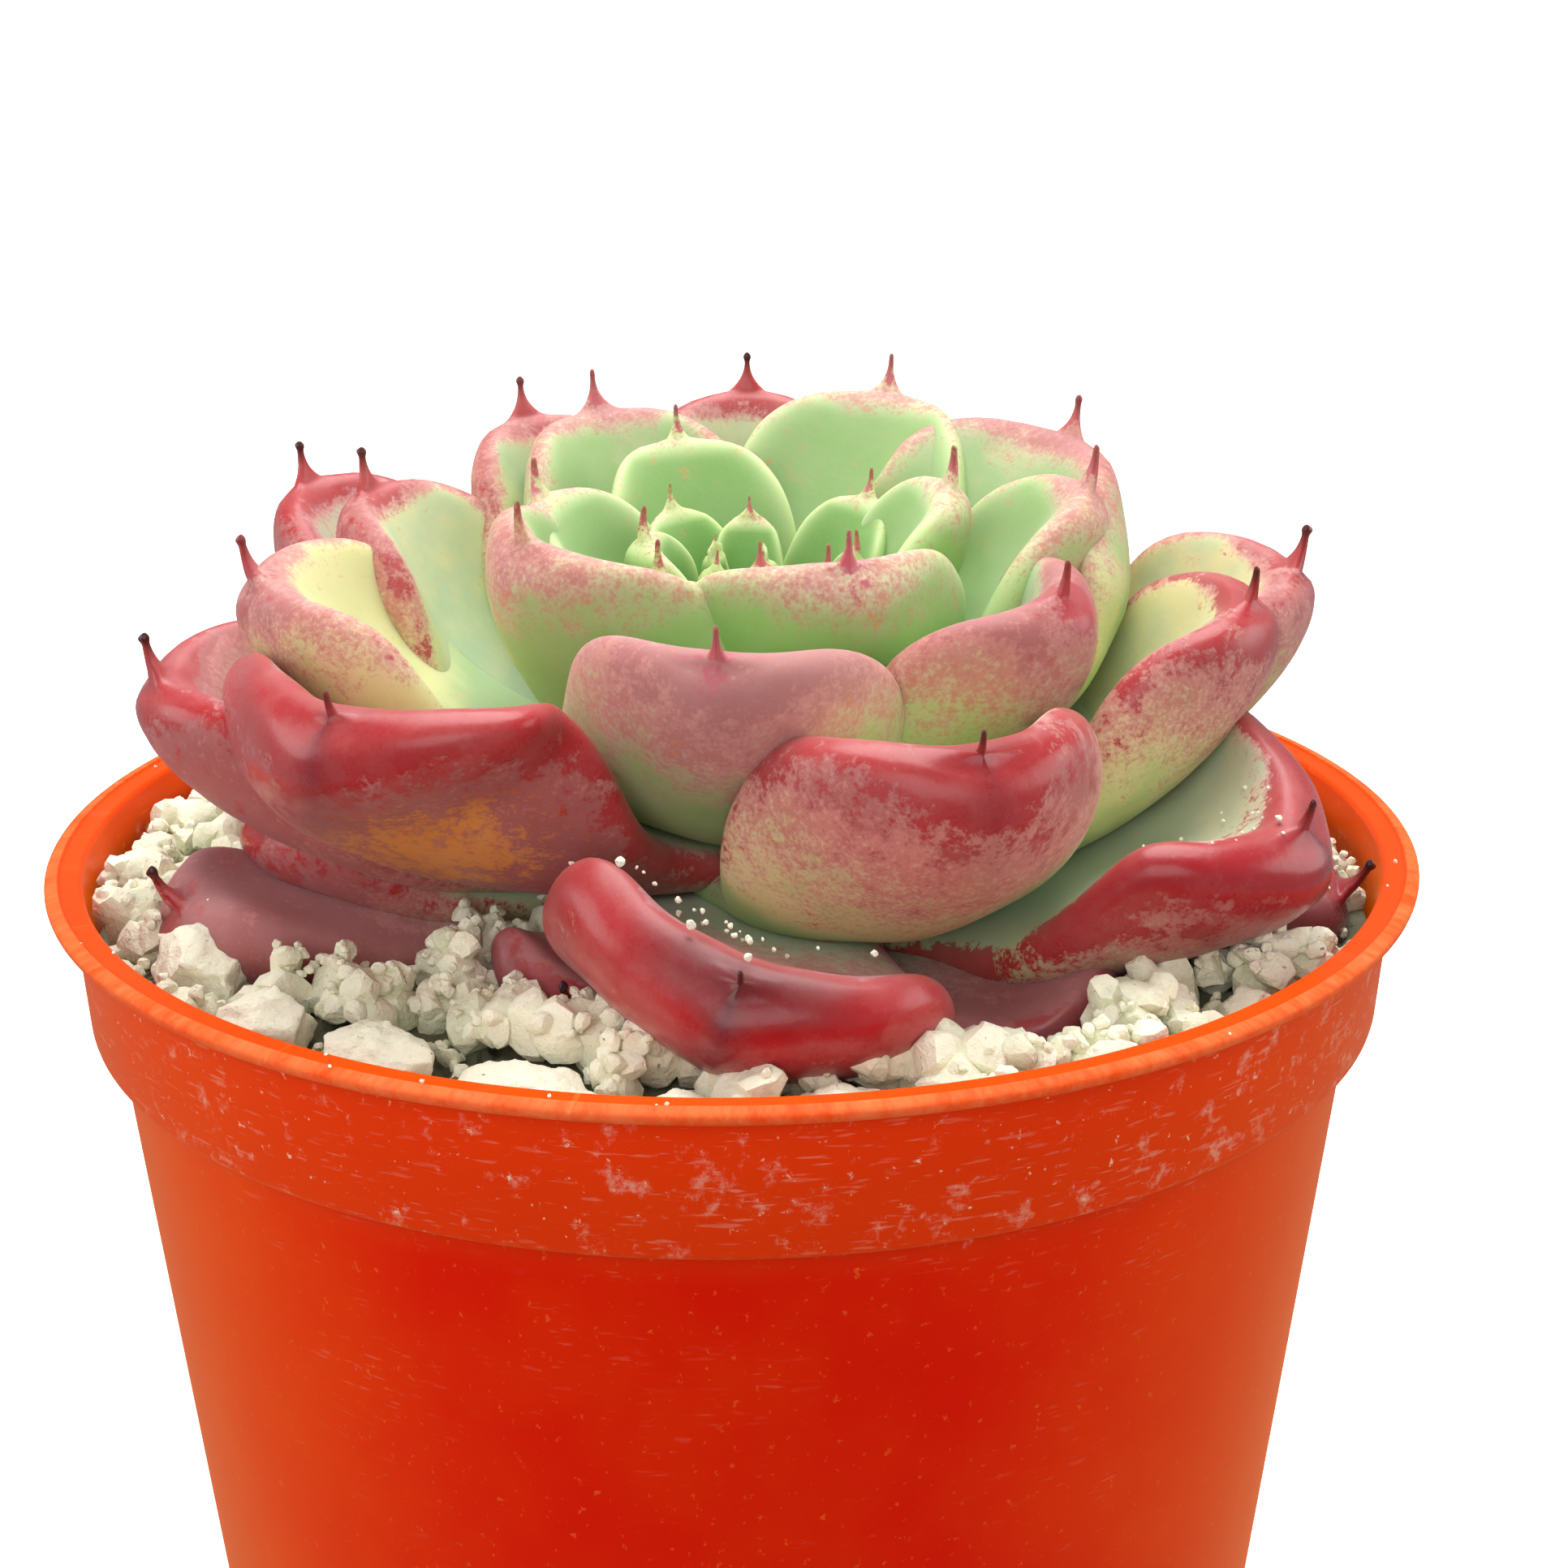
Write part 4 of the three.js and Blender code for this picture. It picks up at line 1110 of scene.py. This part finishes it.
class SUCCULENT_OT_grit(bpy.types.Operator):
    """Adds the pumice bed, its loose grains, its larger stones and the crumbs on the plant and the lip"""

    bl_idname = "succulent.grit"
    bl_label = "Add Grit"

    def execute(self, context):
        settings = context.scene.succulent_grit
        rng = np.random.default_rng(settings.seed)
        pumice = pumice_stone(settings.pumice)
        self.bed(pumice)
        for number, name in enumerate(STONES):
            self.stone(name, number, pumice)
        rocks = [rock(rng, 0.022) for _ in range(14)]
        leaves = [leaf_name(rank) for rank in range(LEAF_COUNT)]
        blocked = tree_of(leaves + ["stem"] + STONES)
        places, sizes = pile(rng, settings, blocked)
        turns = spin_matrices(rng, len(places))
        tones = rng.uniform(0, 0.75, len(places))
        grains = scatter("pumice_grains", rocks, places, sizes, turns, tones)
        only(grains)
        bpy.ops.object.shade_smooth_by_angle(angle=math.radians(28))
        finish_piece(grains, pumice, [])
        self.crumbs(rng, settings, rocks, pumice)
        return {"FINISHED"}

    def bed(self, pumice):
        """The bed that the grains lie on: the CAD bed with a finely lumpy top."""
        bed = copied("grit_bed", "pumice_bed")
        bpy.ops.mesh.select_all(action="DESELECT")
        shape = bmesh.from_edit_mesh(bed.data)
        for face in shape.faces:
            face.select = face.calc_center_median().z > POT_HEIGHT - 7 * MM and face.normal.z > 0.3
        bmesh.update_edit_mesh(bed.data)
        bpy.ops.mesh.subdivide(number_cuts=5)
        bpy.ops.object.mode_set(mode="OBJECT")
        points = points_of(bed)
        x, y, z = points.T / MM
        inside = smooth((BED_EDGE / MM - 0.5 - np.hypot(x, y)) / 1.5) * (z > POT_HEIGHT / MM - 7)
        lumps = np.sin(1.9 * x + 1.2 * y) * np.sin(1.7 * y - 1.1 * x)
        lumps = lumps + 0.6 * np.sin(3.7 * x) * np.sin(3.3 * y + 1)
        points[:, 2] += (0.45 * lumps - 0.5) * inside * MM
        move_points(bed, points)
        # Painted shade: the bed under the grains is painted dark grey-green for the shade between them.
        paint(bed, tone=1.0)
        finish_piece(bed, pumice, ["grit_bed"])

    def stone(self, name, number, pumice):
        """One larger stone: the CAD stone, worn and pitted."""
        stone = copied(name, f"worn_{name}")
        bpy.ops.object.mode_set(mode="OBJECT")
        apply_modifier(stone, "REMESH", mode="VOXEL", voxel_size=0.22 * MM)
        for size, depth in ((2.4, 0.9), (0.8, 0.35)):
            texture = bpy.data.textures.new(f"{name}_{size}", "CLOUDS")
            texture.noise_scale = size * MM
            texture.noise_depth = 2
            apply_modifier(stone, "DISPLACE", texture=texture, strength=depth * MM, mid_level=0.62)
            bpy.data.textures.remove(texture)
        paint(stone, tone=0.1 + 0.35 * (number % 3) / 2)
        only(stone)
        bpy.ops.object.shade_smooth()
        finish_piece(stone, pumice, [name])

    def crumbs(self, rng, settings, rocks, pumice):
        """Crumbs of pumice lying on the lower leaves and on the pot's lip."""
        leaves = tree_of([leaf_name(rank) for rank in range(18, LEAF_COUNT)])
        places, sizes = [], []
        tries = 0
        while len(places) < settings.crumbs and tries < settings.crumbs * 40:
            tries += 1
            size = lerp(0.22, 0.75, rng.uniform() ** 3) * MM
            angle = rng.uniform(0, 2 * math.pi)
            radius = lerp(18 * MM, RIM_RADIUS - 0.3 * MM, rng.uniform())
            x, y = radius * math.cos(angle), radius * math.sin(angle)
            if radius > RIM_RADIUS - 2.2 * MM:
                if size > 0.4 * MM or rng.uniform() < 0.5:
                    continue
                places.append((x, y, POT_HEIGHT - 0.22 * MM + 0.25 * size))
                sizes.append(size)
                continue
            hit, normal, _, _ = leaves.ray_cast(Vector((x, y, POT_HEIGHT + 40 * MM)), Vector((0, 0, -1)))
            low = hit is not None and hit.z < POT_HEIGHT + 9 * MM and normal.z > 0.55
            if low:
                places.append(tuple(hit + normal * 0.12 * size))
                sizes.append(size)
        turns = spin_matrices(rng, len(places))
        tones = rng.uniform(0, 0.3, len(places))
        crumbs = scatter("pumice_crumbs", rocks, np.array(places), sizes, turns, tones)
        finish_piece(crumbs, pumice, [])


# ---- Stage ----


# Both end nearer than the farthest that a camera near the pot sees.
FLOOR_RADIUS, BACKDROP_RADIUS = 7.6, 7.4


class SUCCULENT_OT_stage(bpy.types.Operator):
    """Adds the white floor, the soft lights, the white surroundings and the camera"""

    bl_idname = "succulent.stage"
    bl_label = "Add Stage"

    def execute(self, context):
        self.camera(context)
        self.floor()
        lights = (
            ("overhead_softbox", (0.02, 0.16, 0.62), 0.55, 4.5),
            ("left_softbox", (-0.55, 0.0, 0.22), 0.4, 1.1),
            ("right_softbox", (0.55, 0.05, 0.22), 0.4, 1.1),
            ("front_fill", (-0.12, -0.6, 0.35), 0.5, 1.6),
        )
        aim = Vector((0, 0, POT_HEIGHT))
        for name, place, width, watts in lights:
            deselect()
            bpy.ops.object.light_add(type="AREA", location=place)
            light = bpy.context.object
            light.name = name
            light.data.shape = "DISK"
            light.data.size = width
            light.data.energy = watts
            light.rotation_euler = (aim - Vector(place)).to_track_quat("-Z", "Y").to_euler()
        world = bpy.data.worlds.new("white_room")
        world.use_nodes = True
        background = world.node_tree.nodes["Background"]
        background.inputs["Color"].default_value = linear("#FFFFFF")
        background.inputs["Strength"].default_value = 0.38
        context.scene.world = world
        context.scene.view_settings.view_transform = "Standard"
        return {"FINISHED"}

    def camera(self, context):
        stage = context.scene.succulent_stage
        deselect()
        bpy.ops.object.camera_add(
            location=(0, -stage.distance, POT_HEIGHT + stage.height),
            rotation=(math.pi / 2 - stage.pitch, 0, -stage.yaw),
        )
        camera = bpy.context.object
        camera.data.lens = stage.lens
        camera.data.sensor_width = 36
        camera.data.clip_start = 0.01
        context.scene.camera = camera

    def floor(self):
        """The floor, and round it a backdrop that only the camera sees. Neither tints the plant."""
        deselect()
        bpy.ops.mesh.primitive_circle_add(vertices=96, radius=FLOOR_RADIUS, fill_type="NGON")
        floor = named("white_floor")
        floor.data.materials.append(white_paper("white_paper", 0.78))
        deselect()
        bpy.ops.mesh.primitive_uv_sphere_add(segments=48, ring_count=24, radius=BACKDROP_RADIUS)
        backdrop = named("white_backdrop")
        backdrop.data.materials.append(white_paper("lit_paper", 1.0))
        backdrop.visible_transmission = False
        backdrop.visible_shadow = False
        for paper in (floor, backdrop):
            paper.visible_diffuse = False
            paper.visible_glossy = False


# ---- Panel and registering ----


class SUCCULENT_PT_panel(bpy.types.Panel):
    bl_label = "Potted Succulent"
    bl_idname = "SUCCULENT_PT_panel"
    bl_space_type = "VIEW_3D"
    bl_region_type = "UI"
    bl_category = "Succulent"

    def draw(self, context):
        for title, settings, operator in (
            ("Stage", context.scene.succulent_stage, SUCCULENT_OT_stage),
            ("Pot", context.scene.succulent_pot, SUCCULENT_OT_pot),
            ("Grit", context.scene.succulent_grit, SUCCULENT_OT_grit),
            ("Stem", None, SUCCULENT_OT_stem),
            ("Rosette", context.scene.succulent_rosette, SUCCULENT_OT_leaves),
        ):
            box = self.layout.box()
            box.label(text=title)
            if settings:
                for name in settings.__annotations__:
                    box.prop(settings, name)
            box.operator(operator.bl_idname)


CLASSES = (
    PotSettings,
    GritSettings,
    RosetteSettings,
    StageSettings,
    SUCCULENT_OT_stage,
    SUCCULENT_OT_pot,
    SUCCULENT_OT_grit,
    SUCCULENT_OT_stem,
    SUCCULENT_OT_leaves,
    SUCCULENT_PT_panel,
)
GROUPS = {
    "succulent_pot": PotSettings,
    "succulent_grit": GritSettings,
    "succulent_rosette": RosetteSettings,
    "succulent_stage": StageSettings,
}


def register():
    for made in CLASSES:
        bpy.utils.register_class(made)
    for name, group in GROUPS.items():
        setattr(bpy.types.Scene, name, bpy.props.PointerProperty(type=group))


def unregister():
    for name in GROUPS:
        delattr(bpy.types.Scene, name)
    for made in reversed(CLASSES):
        bpy.utils.unregister_class(made)


def main():
    register()
    bpy.ops.succulent.stage()
    bpy.ops.succulent.pot()
    bpy.ops.succulent.grit()
    bpy.ops.succulent.stem()
    bpy.ops.succulent.leaves()


if __name__ == "__main__":
    main()
